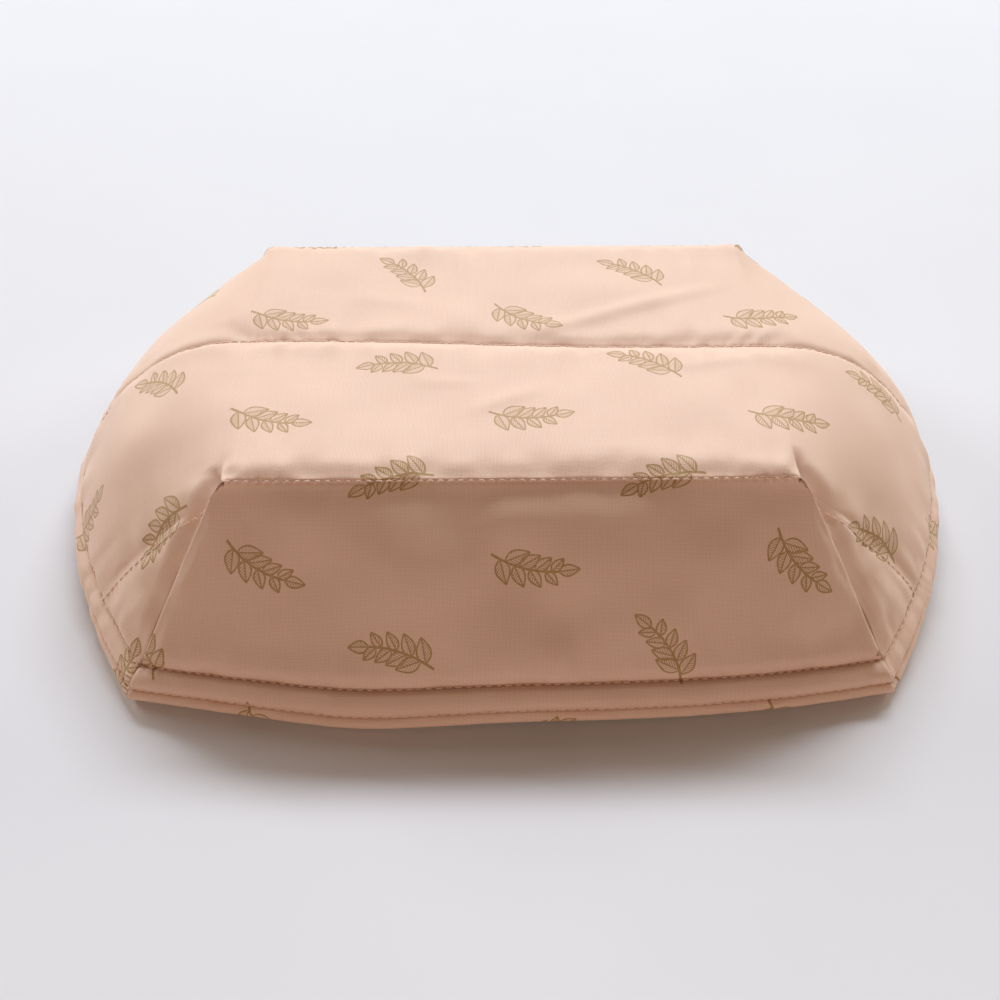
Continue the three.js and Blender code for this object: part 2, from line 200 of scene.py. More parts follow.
class Cloth:
    """The cozy's one sheet as a mesh of shared points, and what each point knows of its place.

    flats is the place on the flat pattern, where the darts are still open, to_rim the distance to
    the rim's edge and around the distance along the rim from the front left corner.
    """

    def __init__(self):
        self.places = np.zeros((0, 3))
        self.flats = np.zeros((0, 2))
        self.to_rim = np.zeros(0)
        self.panel = np.zeros(0, int)
        self.columns = []
        self.add_base()
        self.add_wall()
        self.columns = np.array(self.columns)
        self.quads = self.sheet_quads(1, RIM)
        self.open_darts()
        self.measure_rim()

    def add(self, places, flats, to_rim, panel):
        ids = len(self.places) + np.arange(len(places))
        self.places = np.concatenate([self.places, places])
        self.flats = np.concatenate([self.flats, flats])
        self.to_rim = np.concatenate([self.to_rim, np.broadcast_to(to_rim, len(places))])
        self.panel = np.concatenate([self.panel, np.full(len(places), panel)])
        return ids

    def add_base(self):
        across = mix(-HALF_WIDTH, HALF_WIDTH, crowded(END_COLUMNS, END_CROWDING))
        ys = np.array([base_depths(x) for x in across]).T
        xs = np.broadcast_to(across, ys.shape)
        places = np.stack([xs, ys, np.full(ys.shape, float(BASE_RISE))], axis=-1).reshape(-1, 3)
        self.grid = self.add(places, places[:, :2], FAR, BASE).reshape(ys.shape)

    def add_column(self, top, place, side, panel):
        """A line down the wall, with its points where the rows cross it."""
        fine = np.linspace(0, 1, FINE_STEPS)
        run = np.cumsum(np.r_[0, np.linalg.norm(np.diff(place(fine), axis=0), axis=1)])
        down = row_distances(run[-1])
        places = place(np.interp(down, run, fine))
        flats = end_flats(places, side) if panel == END else flank_flats(places, side)
        ids = self.add(places[1:], flats, run[-1] - down[1:], panel)
        self.columns.append(np.r_[top, ids])

    def add_end(self, side):
        row = self.grid[0 if side < 0 else -1]
        shares = mix(-1, 1, crowded(END_COLUMNS, END_CROWDING))
        order = range(END_COLUMNS + 1) if side < 0 else range(END_COLUMNS, -1, -1)
        for i in order:
            self.add_column(row[i], lambda v, a=shares[i]: end_points(a, side, v), side, END)

    def add_gore(self, side, end):
        top = self.grid[0 if end < 0 else -1, 0 if side < 0 else -1]
        even = np.arange(1, GORE_COLUMNS) / GORE_COLUMNS
        shares = mix(even, 1 - (1 - even) ** 2, GORE_CROWDING)
        for share in shares if side * end > 0 else shares[::-1]:

            def place(v, share=share):
                return flank_points(end * mix(HALF_DEPTH, dart_y(v), share), side, v)

            self.add_column(top, place, side, FLANK)

    def add_flank(self, side):
        tops = self.grid[:, 0 if side < 0 else -1]
        depths = base_depths(side * HALF_WIDTH)
        order = range(FLANK_COLUMNS + 1) if side > 0 else range(FLANK_COLUMNS, -1, -1)
        for j in order:
            self.add_column(tops[j], lambda v, y=depths[j]: flank_points(y, side, v), side, FLANK)

    def add_wall(self):
        """Columns in order round the base, counter-clockwise from above."""
        for side in (1, -1):
            self.add_end(-side)
            self.add_gore(side, -side)
            self.add_flank(side)
            self.add_gore(side, side)

    def base_quads(self, step):
        g = self.grid[::step, ::step]
        return np.stack([g[:-1, :-1], g[:-1, 1:], g[1:, 1:], g[1:, :-1]], axis=-1).reshape(-1, 4)

    def wall_quads(self, step, last):
        c = self.columns[::step, : last + 1 : step]
        n = np.roll(c, -1, axis=0)
        return np.stack([c[:, :-1], c[:, 1:], n[:, 1:], n[:, :-1]], axis=-1).reshape(-1, 4)

    def sheet_quads(self, step, last):
        return np.concatenate([self.base_quads(step), self.wall_quads(step, last)])

    def open_darts(self):
        """The place of each dart's far edge on the flat pattern, as the flank beside it has it."""
        self.dart_flats = self.flats.copy()
        for name, column in DARTS.items():
            ids = self.columns[column]
            side = -1 if name.endswith("left") else 1
            self.dart_flats[ids[1:]] = flank_flats(self.places[ids], side)

    def measure_rim(self):
        rim = self.places[self.columns[:, RIM]]
        steps = np.linalg.norm(np.roll(rim, -1, axis=0) - rim, axis=1)
        self.rim_length = steps.sum()
        self.around = np.zeros(len(self.places))
        self.around[self.columns[:, 1:]] = np.r_[0, np.cumsum(steps)[:-1]][:, None]


def end_flats(places, side):
    steps = np.diff(places, axis=0)
    rise = HALF_DEPTH + np.cumsum(np.hypot(steps[:, 1], steps[:, 2]))
    return np.stack([places[1:, 0], side * rise], axis=-1)


def flank_flats(places, side):
    steps = np.diff(places, axis=0)
    rise = HALF_WIDTH + np.cumsum(np.hypot(steps[:, 0], steps[:, 2]))
    return np.stack([side * rise, places[1:, 1]], axis=-1)


cloth = Cloth()

# Neighbours on the sheet, for evening things out over it


def sheet_edges():
    pairs = np.concatenate([cloth.quads[:, [k, (k + 1) % 4]] for k in range(4)])
    pairs = np.unique(np.sort(pairs, axis=1), axis=0)
    return pairs[pairs[:, 0] != pairs[:, 1]]


EDGES = sheet_edges()
NEIGHBOURS = np.bincount(EDGES.ravel(), minlength=len(cloth.places))[:, None]


def evened(values, passes, hold=0.0):
    """Values averaged with their neighbours', except where hold is 1."""
    free = 1 - np.broadcast_to(np.reshape(hold, (-1, 1)), (len(values), 1))
    for _ in range(passes):
        sums = np.stack([neighbour_sum(values[:, k]) for k in range(values.shape[1])], axis=1)
        values = values + free * (sums / NEIGHBOURS - values) / 2
    return values


def neighbour_sum(column):
    here, there = EDGES.T
    count = len(column)
    return np.bincount(here, column[there], count) + np.bincount(there, column[here], count)


DIRECTION_PASSES = 60


def outward_normals(places):
    a, b, c, d = (places[cloth.quads[:, k]] for k in range(4))
    faces = np.cross(c - a, d - b)
    normals = np.zeros_like(places)
    for k in range(4):
        np.add.at(normals, cloth.quads[:, k], faces)
    return normals / np.linalg.norm(normals, axis=1, keepdims=True)


def evened_normals():
    """The cloth's outward directions without its sharp edges."""
    normals = evened(outward_normals(cloth.places), DIRECTION_PASSES)
    return normals / np.linalg.norm(normals, axis=1, keepdims=True)


# The shoulders where the base rolls over into the flanks have no crease
SHOULDER_REACH, SHOULDER_PASSES, SHOULDER_FINISH, ON_ROW = 11, 160, 10, 1e-6


def round_shoulders():
    """Points move straight in or out, so that the weave and the print keep their scale."""
    near = np.exp(-(((np.abs(cloth.flats[:, 0]) - HALF_WIDTH) / SHOULDER_REACH) ** 2))
    sewn = (np.abs(np.abs(cloth.flats[:, 1]) - HALF_DEPTH) < ON_ROW) | (cloth.panel == END)
    hold = np.where(sewn, 1, 1 - near)
    moved = evened(cloth.places, SHOULDER_PASSES, hold) - cloth.places
    normals = evened_normals()
    cloth.places += normals * (moved * normals).sum(axis=1, keepdims=True)
    cloth.places = evened(cloth.places, SHOULDER_FINISH, hold)


round_shoulders()

# The front wall sags a little towards its left, out and down at the rim
SAG_AT, SAG_REACH, SAG_RISE, SAG = -50, 34, 42, (0, -1.9, -1.9)


def sag_front():
    u, v = cloth.flats.T
    along = np.exp(-(((u - SAG_AT) / SAG_REACH) ** 2))
    low = (1 - smoothstep(0, SAG_RISE, cloth.to_rim)) * (v < -HALF_DEPTH) * (cloth.panel == END)
    cloth.places += (along * low)[:, None] * SAG


sag_front()

INWARD = -evened_normals()

# Distances that the stitching's pull is worked out from
SEAM_COLUMNS, SEAM_SAMPLES = 42, 400


def dart_distances():
    """Distance of the wall points near a dart from its seam."""
    best = np.full(len(cloth.places), float(FAR))
    for column in DARTS.values():
        seam = cloth.places[cloth.columns[column]]
        run = np.linspace(0, len(seam) - 1, SEAM_SAMPLES)
        fine = np.stack([np.interp(run, np.arange(len(seam)), seam[:, k]) for k in range(3)], axis=1)
        near = np.arange(column - SEAM_COLUMNS, column + SEAM_COLUMNS + 1) % len(cloth.columns)
        for ids in cloth.columns[near, 1:]:
            apart = np.linalg.norm(cloth.places[ids, None] - fine[None], axis=2)
            best[ids] = np.minimum(best[ids], apart.min(axis=1))
        best[cloth.columns[column]] = 0
    return best


TO_DART = dart_distances()
U, V = cloth.flats.T

# On the flanks the front and back rows lie a little outside the darts' tips
FLANK_SHIFT, SHIFT_REACH = 2.3, 6
ROW_ON_FLANK = HALF_DEPTH + FLANK_SHIFT


def row_depths():
    """Where each quilting row lies on the flat pattern, beside every point."""
    shift = FLANK_SHIFT * smoothstep(0, SHIFT_REACH, np.abs(U) - HALF_WIDTH) * (cloth.panel == FLANK)
    return {
        "front": -HALF_DEPTH - shift,
        "centre": centre_row(np.clip(U, -HALF_WIDTH, HALF_WIDTH)),
        "back": HALF_DEPTH + shift,
    }


ROW_DEPTHS = row_depths()


def tip_distances(*corners):
    """Distance of every point from the nearest of the named darts' tips."""
    tips = cloth.places[cloth.columns[[DARTS[name] for name in corners], 0]]
    return np.linalg.norm(cloth.places[:, None] - tips[None], axis=2).min(axis=1)


TO_TIP = tip_distances(*DARTS)
TO_FRONT_TIP = tip_distances("front_left", "front_right")


NOISE_CELLS = 64


def soft_noise(x, y, seed):
    """Smooth noise from -1 to 1 on a lattice of unit cells."""
    table = np.random.default_rng(seed).uniform(-1, 1, (NOISE_CELLS, NOISE_CELLS))
    ix, iy = np.floor(x).astype(int), np.floor(y).astype(int)
    fx, fy = smoothstep(0, 1, x - ix), smoothstep(0, 1, y - iy)

    def corner(dx, dy):
        return table[(ix + dx) % NOISE_CELLS, (iy + dy) % NOISE_CELLS]

    return mix(mix(corner(0, 0), corner(1, 0), fx), mix(corner(0, 1), corner(1, 1), fx), fy)


def pillow(distance, reach):
    """How far a padded panel still lies below its full height beside a seam, 1 at the seam."""
    short = np.clip(1 - distance / reach, 0, 1)
    return 1 - np.sqrt(1 - short**2)


def slope(distance, reach):
    """An even slope down to a seam, 1 at the seam."""
    return 1 - smoothstep(0, 1, distance / reach)


# Puckers that the stitches throw across a row: their size along and across it, and their height
PUCKER_ALONG, PUCKER_ACROSS, PUCKER_HEIGHT, PUCKER_REACH = 8, 18, 0.45, 6
PUCKER_FINER, FINER_HEIGHT = 2.3, 0.5


def stitched(distance, along, seed):
    """The holes and the puckers of a row of stitches."""
    holes = HOLE_DEPTH * np.exp(-distance / HOLE_REACH) * np.cos(2 * np.pi * along / STITCH_PITCH)
    pucker = soft_noise(along / PUCKER_ALONG, distance / PUCKER_ACROSS + seed, seed)
    finer = soft_noise(PUCKER_FINER * along / PUCKER_ALONG, distance / PUCKER_ACROSS, seed + 1)
    pucker += FINER_HEIGHT * finer
    fading = distance / PUCKER_REACH * np.exp(1 - distance / PUCKER_REACH)
    return holes + PUCKER_HEIGHT * pucker * fading


CORNER_FADE, DART_FADE = (-2, 5), 10


def quilting_pull(name):
    """A quilting row is deepest where it is also the crease between the base and an end wall."""
    distance = np.abs(V - ROW_DEPTHS[name])
    past_corner = smoothstep(*CORNER_FADE, np.abs(U) - HALF_WIDTH)
    on_base = CENTRE_ROW_DEEP if name == "centre" else BASE_EDGE_DEEP
    on_end = 1 - smoothstep(0, END_REACH, distance)
    rise = np.where(cloth.panel == BASE, pillow(distance, BASE_REACH), pillow(distance, FLANK_REACH))
    rise = np.where(cloth.panel == END, on_end, rise)
    seat = mix(SEAT_DEEP, SEAT_DEEP_FLANK, past_corner) * pillow(distance, SEAT_REACH)
    off_dart = np.where(cloth.panel == FLANK, smoothstep(0, DART_FADE, TO_DART), 1)
    return off_dart * (mix(on_base, FLANK_ROW_DEEP, past_corner) * rise + seat)


def rim_pull(row):
    """The rows round the rim: an end wall slopes in to the inner one, and the band steps out under it."""
    apart = cloth.to_rim - row
    if row == EDGE_ROW:
        return EDGE_DEEP * pillow(np.abs(apart), np.where(apart > 0, EDGE_REACH_ABOVE, EDGE_REACH_BELOW))
    on_end = mix(INNER_DEEP_DART, INNER_DEEP_END, smoothstep(0, INNER_EASE_END, TO_DART))
    on_flank = mix(INNER_DEEP_DART, INNER_DEEP_FLANK, smoothstep(0, INNER_EASE_FLANK, TO_DART))
    end = cloth.panel == END
    above = np.where(end, slope(apart, INNER_SLOPE_END), pillow(apart, INNER_REACH_ABOVE))
    below = pillow(-apart, np.where(end, INNER_STEP_END, INNER_REACH_BELOW))
    return np.where(end, on_end, on_flank) * np.where(apart > 0, above, below)


# A dart's seam is a step, where the end wall's edge stands over the flank, with a pit at its tip
DART_DEEP, DART_REACH_END, DART_REACH_FLANK, DART_REACH_TIP = 1.4, 1.8, 7.0, 11.0
DART_HOLD, DART_RUN, DART_IN_BAND, DART_EDGE = 6, 50, 0.4, 1.0
DART_ABOVE_BAND = (INNER_ROW - 1, INNER_ROW + 4)
TIP_DEEP_FRONT, TIP_DEEP_BACK, SLIT_POWER = 3.6, 0.5, 1.2
TIP_LENGTHS, TIP_LEANS = (10.0, 14.0), (0.45, -0.18)
SLIT_EDGE, SLIT_REACH = (-0.4, 0.5), 7.0
TIP_CALM_REACH, TIP_CALM_PASSES = 2.5, 2
TIP_YIELD, TIP_YIELD_REACH = 3.0, 10


def dart_pull(tips):
    """Deepest at the tip on the flank's side, where the shell also folds in."""
    at_tip = mix(DART_DEEP, np.where(V < 0, TIP_DEEP_FRONT, TIP_DEEP_BACK), tips)
    down = smoothstep(DART_HOLD, DART_RUN, TO_TIP)
    on_flank = mix(at_tip, DART_DEEP, down) * slope(TO_DART, mix(DART_REACH_TIP, DART_REACH_FLANK, down))
    on_flank = mix(DART_DEEP, on_flank, smoothstep(0, DART_EDGE, TO_DART))
    above_band = mix(DART_IN_BAND, 1, smoothstep(*DART_ABOVE_BAND, cloth.to_rim))
    on_end = DART_DEEP * pillow(TO_DART, DART_REACH_END)
    return above_band * np.where(cloth.panel == FLANK, on_flank, on_end)


def across_slit():
    """How far a point lies outside the line of the slit at its corner, and how near the slit's tip."""
    inside = HALF_DEPTH - np.abs(V)
    length = np.where(U < 0, *TIP_LENGTHS)
    outside = np.abs(U) - HALF_WIDTH - np.where(U < 0, *TIP_LEANS) * np.clip(inside, 0, length)
    return outside, np.clip(1 - inside / length, 0, 1) ** SLIT_POWER * (inside >= 0)


def slit_pull():
    """The slits at the front darts' tips, where the flank dips under the base's corner."""
    outside, fade = across_slit()
    return TIP_DEEP_FRONT * (V < 0) * fade * slope(outside, SLIT_REACH) * smoothstep(*SLIT_EDGE, outside)


# Shade painted into the cloth's colour in folds too narrow for the light to reach: along the rim's rows,
# the darts and the slits at their tips
INNER_FOLD_SHADE, INNER_FOLD_SHADE_FLANK, EDGE_FOLD_SHADE = 1.0, 0.3, 0.5
DART_FOLD_SHADE, DART_FOLD_SHADE_BACK, SLIT_FOLD_SHADE = 0.8, 0.25, 1.0
INNER_FOLD_WIDTH, EDGE_FOLD_WIDTH, DART_FOLD_WIDTH, SLIT_FOLD_WIDTH = 0.45, 0.4, 0.45, 3.0


def painted_shade_in_folds():
    """How dark the shade painted in the narrow folds is at each point, from 0 to 1."""
    outside, fade = across_slit()
    on_end = cloth.panel == END
    inner = np.where(on_end, INNER_FOLD_SHADE, INNER_FOLD_SHADE_FLANK)
    slit_width = np.where(outside > 0, SLIT_FOLD_WIDTH, DART_FOLD_WIDTH)
    parts = (
        (inner, cloth.to_rim - INNER_ROW, INNER_FOLD_WIDTH),
        (EDGE_FOLD_SHADE, cloth.to_rim - EDGE_ROW, EDGE_FOLD_WIDTH),
        (np.where(V < 0, DART_FOLD_SHADE, DART_FOLD_SHADE_BACK), TO_DART, DART_FOLD_WIDTH),
        (SLIT_FOLD_SHADE * np.sqrt(fade) * (V < 0), outside, slit_width),
    )
    return np.maximum.reduce([dark * np.exp(-((apart / width) ** 2)) for dark, apart, width in parts])


def tip_yield():
    """How far the layers give way at the front tips, where the shell's folds are deepest."""
    return TIP_YIELD * np.exp(-((TO_FRONT_TIP / TIP_YIELD_REACH) ** 2))


def calm_tips(depth):
    """Depths evened out close to the darts' tips, each of which stays with its end wall."""
    apart = np.hypot(np.abs(U) - HALF_WIDTH, np.abs(V) - HALF_DEPTH)
    hold = smoothstep(0, TIP_CALM_REACH, apart)
    depth = evened(depth[:, None], TIP_CALM_PASSES, hold)[:, 0]
    for name, column in DARTS.items():
        beside = column + (1 if name in ("front_left", "back_right") else -1)
        depth[cloth.columns[column, 0]] = depth[cloth.columns[beside, 0]]
    return depth


# Soft folds in the base, each from one place to another, with its half width and its height
FOLDS = (
    ((5, 5), (80, 36), 3.6, 0.95),
    ((-15, -38), (12, -25), 3.4, 0.6),
    ((-34, -20), (-12, -22), 3.0, 0.4),
    ((55, -14), (88, -8), 3.0, 0.4),
    ((-60, 30), (-25, 24), 4.0, 0.35),
)
FOLD_END, FOLD_TAPER = 0.02, 0.6


def folds():
    """Height of the folds over the flat pattern."""
    height = np.zeros(len(U))
    flat = np.stack([U, V], axis=1)
    for start, end, width, tall in FOLDS:
        start, run = np.array(start), np.subtract(end, start)
        share = np.clip((flat - start) @ run / (run @ run), 0, 1)
        apart = np.linalg.norm(flat - start - share[:, None] * run, axis=1)
        taper = np.sin(np.pi * np.clip(share, FOLD_END, 1 - FOLD_END)) ** FOLD_TAPER
        height += tall * taper * np.exp(-((apart / width) ** 2))
    return height


# Slack in the padded panels: broad swells between the rows
SWELL_SCALE, SWELL_FINER, SWELL_HEIGHT, SWELL_HEIGHT_END, SWELL_CLEAR = 34, 2.1, 0.9, 1.7, 14


def swells(seed):
    clear = np.ones(len(U))
    for depths in ROW_DEPTHS.values():
        clear *= smoothstep(0, SWELL_CLEAR, np.abs(V - depths))
    clear *= smoothstep(INNER_ROW, INNER_ROW + SWELL_CLEAR, cloth.to_rim)
    finer = soft_noise(SWELL_FINER * U / SWELL_SCALE, SWELL_FINER * V / SWELL_SCALE, seed + 1)
    wave = soft_noise(U / SWELL_SCALE, V / SWELL_SCALE, seed) + FINER_HEIGHT * finer
    clear *= np.where(cloth.panel == END, smoothstep(0, SWELL_CLEAR, TO_DART), 1)
    return np.where(cloth.panel == END, SWELL_HEIGHT_END, SWELL_HEIGHT) * wave * clear


# The band between the rim's two rows stands out, and no pull goes deeper than the padding
BAND_PLUMP, BAND_LEAN, DEEPEST, END_PUCKERS = 1.3, 1.4, 2.6, 0.2
ROWS_ABOVE_BAND, ROW_SEEDS, RIM_SEEDS = (INNER_ROW - 1, INNER_ROW + 2), 10, 40


def band_bulge():
    """The band is fullest towards the rim, so that most of it faces up."""
    down = np.clip((INNER_ROW - cloth.to_rim) / (INNER_ROW - EDGE_ROW), 0, 1)
    return BAND_PLUMP * np.sin(np.pi * down**BAND_LEAN)


def drawn_in(seed, tips):
    """Depth of the cloth's face below the smooth sheet, up to the start of the rolled edge."""
    above_rim = smoothstep(*ROWS_ABOVE_BAND, cloth.to_rim)
    rows = [above_rim * quilting_pull(name) for name in ROW_DEPTHS]
    sewn = [rim_pull(INNER_ROW), rim_pull(EDGE_ROW)]
    depth = np.maximum.reduce([*rows, *sewn, dart_pull(tips), tips * slit_pull()])
    depth = calm_tips(depth) + swells(seed) - band_bulge()
    quiet = np.where(cloth.panel == END, END_PUCKERS, 1)
    for n, depths in enumerate(ROW_DEPTHS.values()):
        depth += above_rim * quiet * stitched(np.abs(V - depths), U, seed + ROW_SEEDS * n)
    for n, row in enumerate((INNER_ROW, EDGE_ROW)):
        row_seed = seed + RIM_SEEDS + ROW_SEEDS * n
        depth += stitched(np.abs(cloth.to_rim - row), cloth.around, row_seed)
    return np.minimum(depth, DEEPEST + tips * tip_yield())


# Cloth simulation, larger than life: the padding blows out the panels between the sewn lines
SIM_STEP, SIM_SCALE, SIM_FRAMES, SIM_EXCESS = 3, 10, 24, 0.03
PUFF_OUT, PUFF_IN, PUFF_CALM, PUFF_CLEAR = 1.1, 0.4, 10, 14


def sewn_points():
    """Points that the stitching holds: the quilting rows, the darts and the rim."""
    held = np.zeros(len(U), bool)
    middle = FLANK_COLUMNS // 2
    held[cloth.grid[[0, middle, FLANK_COLUMNS]]] = True
    for flank in (FLANK_LEFT, FLANK_RIGHT):
        held[cloth.columns[[flank, flank + middle, flank + FLANK_COLUMNS]]] = True
    held[cloth.columns[list(DARTS.values())]] = True
    held[cloth.columns[:, INNER:]] = True
    return held


# Even pressure from the padding, no weight, and a little more cloth than the panels need
PADDING = {
    "quality": 6,
    "mass": 0.1,
    "tension_stiffness": 12,
    "compression_stiffness": 12,
    "shear_stiffness": 4,
    "bending_stiffness": 0.6,
    "vertex_group_mass": "sewn",
    "use_pressure": True,
    "uniform_pressure_force": 2.0,
    "shrink_min": -SIM_EXCESS,
}


def padding_cloth(piece, held):
    """Cloth settings, with the sewn points held."""
    piece.vertex_groups.new(name="sewn").add(np.flatnonzero(held).tolist(), 1.0, "REPLACE")
    modifier = piece.modifiers.new("padding", "CLOTH")
    for key, value in PADDING.items():
        setattr(modifier.settings, key, value)
    modifier.settings.effector_weights.gravity = 0
    modifier.collision_settings.use_collision = False
    modifier.point_cache.frame_start = 1
    modifier.point_cache.frame_end = SIM_FRAMES


def vertex_places(mesh):
    places = np.zeros(len(mesh.vertices) * 3)
    mesh.vertices.foreach_get("co", places)
    return places.reshape(-1, 3)


def simulated_puff(start, outward):
    """How far the simulated panels rise from their start, in millimetres at every point."""
    puff = np.zeros(len(U))
    quads = cloth.sheet_quads(SIM_STEP, INNER)
    used, corners = np.unique(quads, return_inverse=True)
    mesh = bpy.data.meshes.new("padding")
    mesh.from_pydata((start[used] * SIM_SCALE * MM).tolist(), [], tidy_faces(corners.reshape(-1, 4)))
    piece = add_object("padding", mesh)
    padding_cloth(piece, sewn_points()[used])
    for step in range(1, SIM_FRAMES + 1):
        bpy.context.scene.frame_set(step)
    evaluated = piece.evaluated_get(bpy.context.evaluated_depsgraph_get())
    moved = (vertex_places(evaluated.data) - vertex_places(mesh)) / (SIM_SCALE * MM)
    puff[used] = np.clip((moved * outward[used]).sum(axis=1), -PUFF_IN, PUFF_OUT)
    bpy.data.objects.remove(piece)
    bpy.context.scene.frame_set(1)
    return filled_in(puff)


def filled_in(values):
    """Values known at every third row and column, filled in between and evened out."""
    base = values[cloth.grid[::SIM_STEP, ::SIM_STEP]]
    base = stretched(stretched(base).T).T
    wall = values[cloth.columns[::SIM_STEP, : INNER + 1 : SIM_STEP]]
    wall = stretched(np.concatenate([wall, wall[:1]]))[:-1]
    values[cloth.columns[:, : INNER + 1]] = stretched(wall.T).T
    values[cloth.grid] = base
    return evened(values[:, None], PUFF_CALM, sewn_points())[:, 0]


def stretched(table):
    """Rows of a table with evenly spaced rows put in between."""
    places = np.arange((len(table) - 1) * SIM_STEP + 1) / SIM_STEP
    low = np.minimum(places.astype(int), len(table) - 2)
    return mix(table[low], table[low + 1], (places - low)[:, None])


def up_the_wall():
    """Unit steps up the wall from the rim, for the cloth that turns in at the rolled edge."""
    up = np.zeros_like(cloth.places)
    step = cloth.places[cloth.columns[:, LIP]] - cloth.places[cloth.columns[:, RIM]]
    up[cloth.columns[:, LIP:]] = (step / np.linalg.norm(step, axis=1, keepdims=True))[:, None]
    return up


UP = up_the_wall()
ROLL_ANGLE = np.zeros(len(U))
ROLL_ANGLE[cloth.columns[:, LIP:]] = np.linspace(0, np.pi / 2, ROLL_STEPS + 1)
LIP_POINT = np.arange(len(U))
LIP_POINT[cloth.columns[:, LIP:]] = cloth.columns[:, LIP][:, None]


def rolled(depth, thickness):
    """The depth and lift of a face that turns in at the rim, the given thickness inside the cloth."""
    meet = MIDDLE - SEAM_GAP
    start = depth[LIP_POINT] + thickness
    turned = meet - (meet - start) * np.cos(ROLL_ANGLE)
    lift = thickness * np.sin(ROLL_ANGLE)
    return np.where(ROLL_ANGLE > 0, turned, depth + thickness), lift


def face_places(depth, lift=0.0):
    places = cloth.places + INWARD * np.reshape(depth, (-1, 1)) + UP * np.reshape(lift, (-1, 1))
    return np.maximum(places + [0, 0, LIFT], [-FAR, -FAR, TABLE_CLEAR])


def tidy_faces(quads):
    """Quads as lists, with a quad that has two corners in one place as a triangle."""
    return [q[:3].tolist() if q[0] == q[3] else q.tolist() for q in quads]


def add_object(name, mesh):
    piece = bpy.data.objects.new(name, mesh)
    bpy.context.scene.collection.objects.link(piece)
    return piece


SHELL_DEPTH = drawn_in(seed=11, tips=1) - folds()
PUFF_ROOM = np.where(cloth.panel == END, smoothstep(0, PUFF_CLEAR, np.abs(V) - HALF_DEPTH), 1)
SHELL_DEPTH -= PUFF_ROOM * simulated_puff(face_places(SHELL_DEPTH), -INWARD)
LINING_DEPTH = drawn_in(seed=211, tips=0)

# The layers under the shell draw back from the sharp corners at the darts' tips
TUCK_NEAR, TUCK_FAR, TUCK_PASSES = 4, 14, 30


def tucked(depth, lift=0.0):
    places = face_places(depth + tip_yield(), lift)
    return evened(places, TUCK_PASSES, smoothstep(TUCK_NEAR, TUCK_FAR, TO_TIP))


def lining_places(thickness):
    depth, lift = rolled(LINING_DEPTH, thickness)
    return tucked(LOFT - depth, lift)


shell_face = face_places(*rolled(SHELL_DEPTH, 0))
shell_back = face_places(*rolled(SHELL_DEPTH, FABRIC))
lining_face = lining_places(0)
lining_back = lining_places(FABRIC)

# Meshes
# How dark the shade painted into the cloth's colour is at each point
FOLD_SHADE = painted_shade_in_folds()


def rim_faces(outer_loop, inner_loop):
    """Faces that close a layer between two loops of the rim, the second with fewer points."""
    ratio = len(outer_loop) // len(inner_loop)
    faces = []
    for n, here in enumerate(inner_loop):
        run = [outer_loop[(n * ratio + k) % len(outer_loop)] for k in range(ratio, -1, -1)]
        faces.append([int(i) for i in [*run, here, inner_loop[(n + 1) % len(inner_loop)]]])
    return faces


def layer(name, outer, inner, steps, last_row):
    """A closed layer between two faces of the sheet, each as fine as its step says."""
    count = len(cloth.places)
    outer_faces, inner_faces = (tidy_faces(cloth.sheet_quads(step, last_row)) for step in steps)
    inner_faces = [[i + count for i in face[::-1]] for face in inner_faces]
    outer_loop, inner_loop = (cloth.columns[::step, last_row] for step in steps)
    faces = outer_faces + inner_faces + rim_faces(outer_loop, inner_loop + count)
    panels = len(outer_faces) + len(inner_faces)
    return pattern_mesh(name, np.concatenate([outer, inner]), faces, panels)


def pattern_mesh(name, places, faces, panels):
    """A mesh of the used points, with the flat pattern and the shade painted in the folds, and its panels
    shaded smooth.
    """
    corners = np.concatenate([np.array(face) for face in faces])
    used, indices = np.unique(corners, return_inverse=True)
    sizes = [len(face) for face in faces]
    starts = np.r_[0, np.cumsum(sizes)[:-1]]
    mesh = bpy.data.meshes.new(name)
    renumbered = [indices[s : s + n].tolist() for s, n in zip(starts, sizes)]
    mesh.from_pydata((places[used] * MM).tolist(), [], renumbered)
    lay_pattern(mesh, corners % len(cloth.places), starts, sizes)
    mark_folds(mesh, used % len(cloth.places))
    mesh.polygons.foreach_set("use_smooth", np.arange(len(faces)) < panels)
    mesh.update()
    return add_object(name, mesh)


def lay_pattern(mesh, on_sheet, starts, sizes):
    """The flat pattern in metres as the UV map, where a face on a flank has the dart's far edge."""
    on_flank = np.maximum.reduceat((cloth.panel[on_sheet] == FLANK).astype(int), starts) > 0
    flank = np.repeat(on_flank, sizes)
    flats = np.where(flank[:, None], cloth.dart_flats[on_sheet], cloth.flats[on_sheet])
    mesh.uv_layers.new(name="pattern").data.foreach_set("uv", (flats * MM).ravel())


def mark_folds(mesh, on_sheet):
    """The shade painted into the narrow folds, and the darts' seams as sharp edges."""
    painted_fold_shade = mesh.attributes.new("painted_fold_shade", "FLOAT", "POINT")
    painted_fold_shade.data.foreach_set("value", FOLD_SHADE[on_sheet])
    seam = np.isin(on_sheet, cloth.columns[list(DARTS.values())])
    ends = np.zeros(len(mesh.edges) * 2, int)
    mesh.edges.foreach_get("vertices", ends)
    mesh.edges.foreach_set("use_edge_sharp", seam[ends].reshape(-1, 2).all(axis=1))


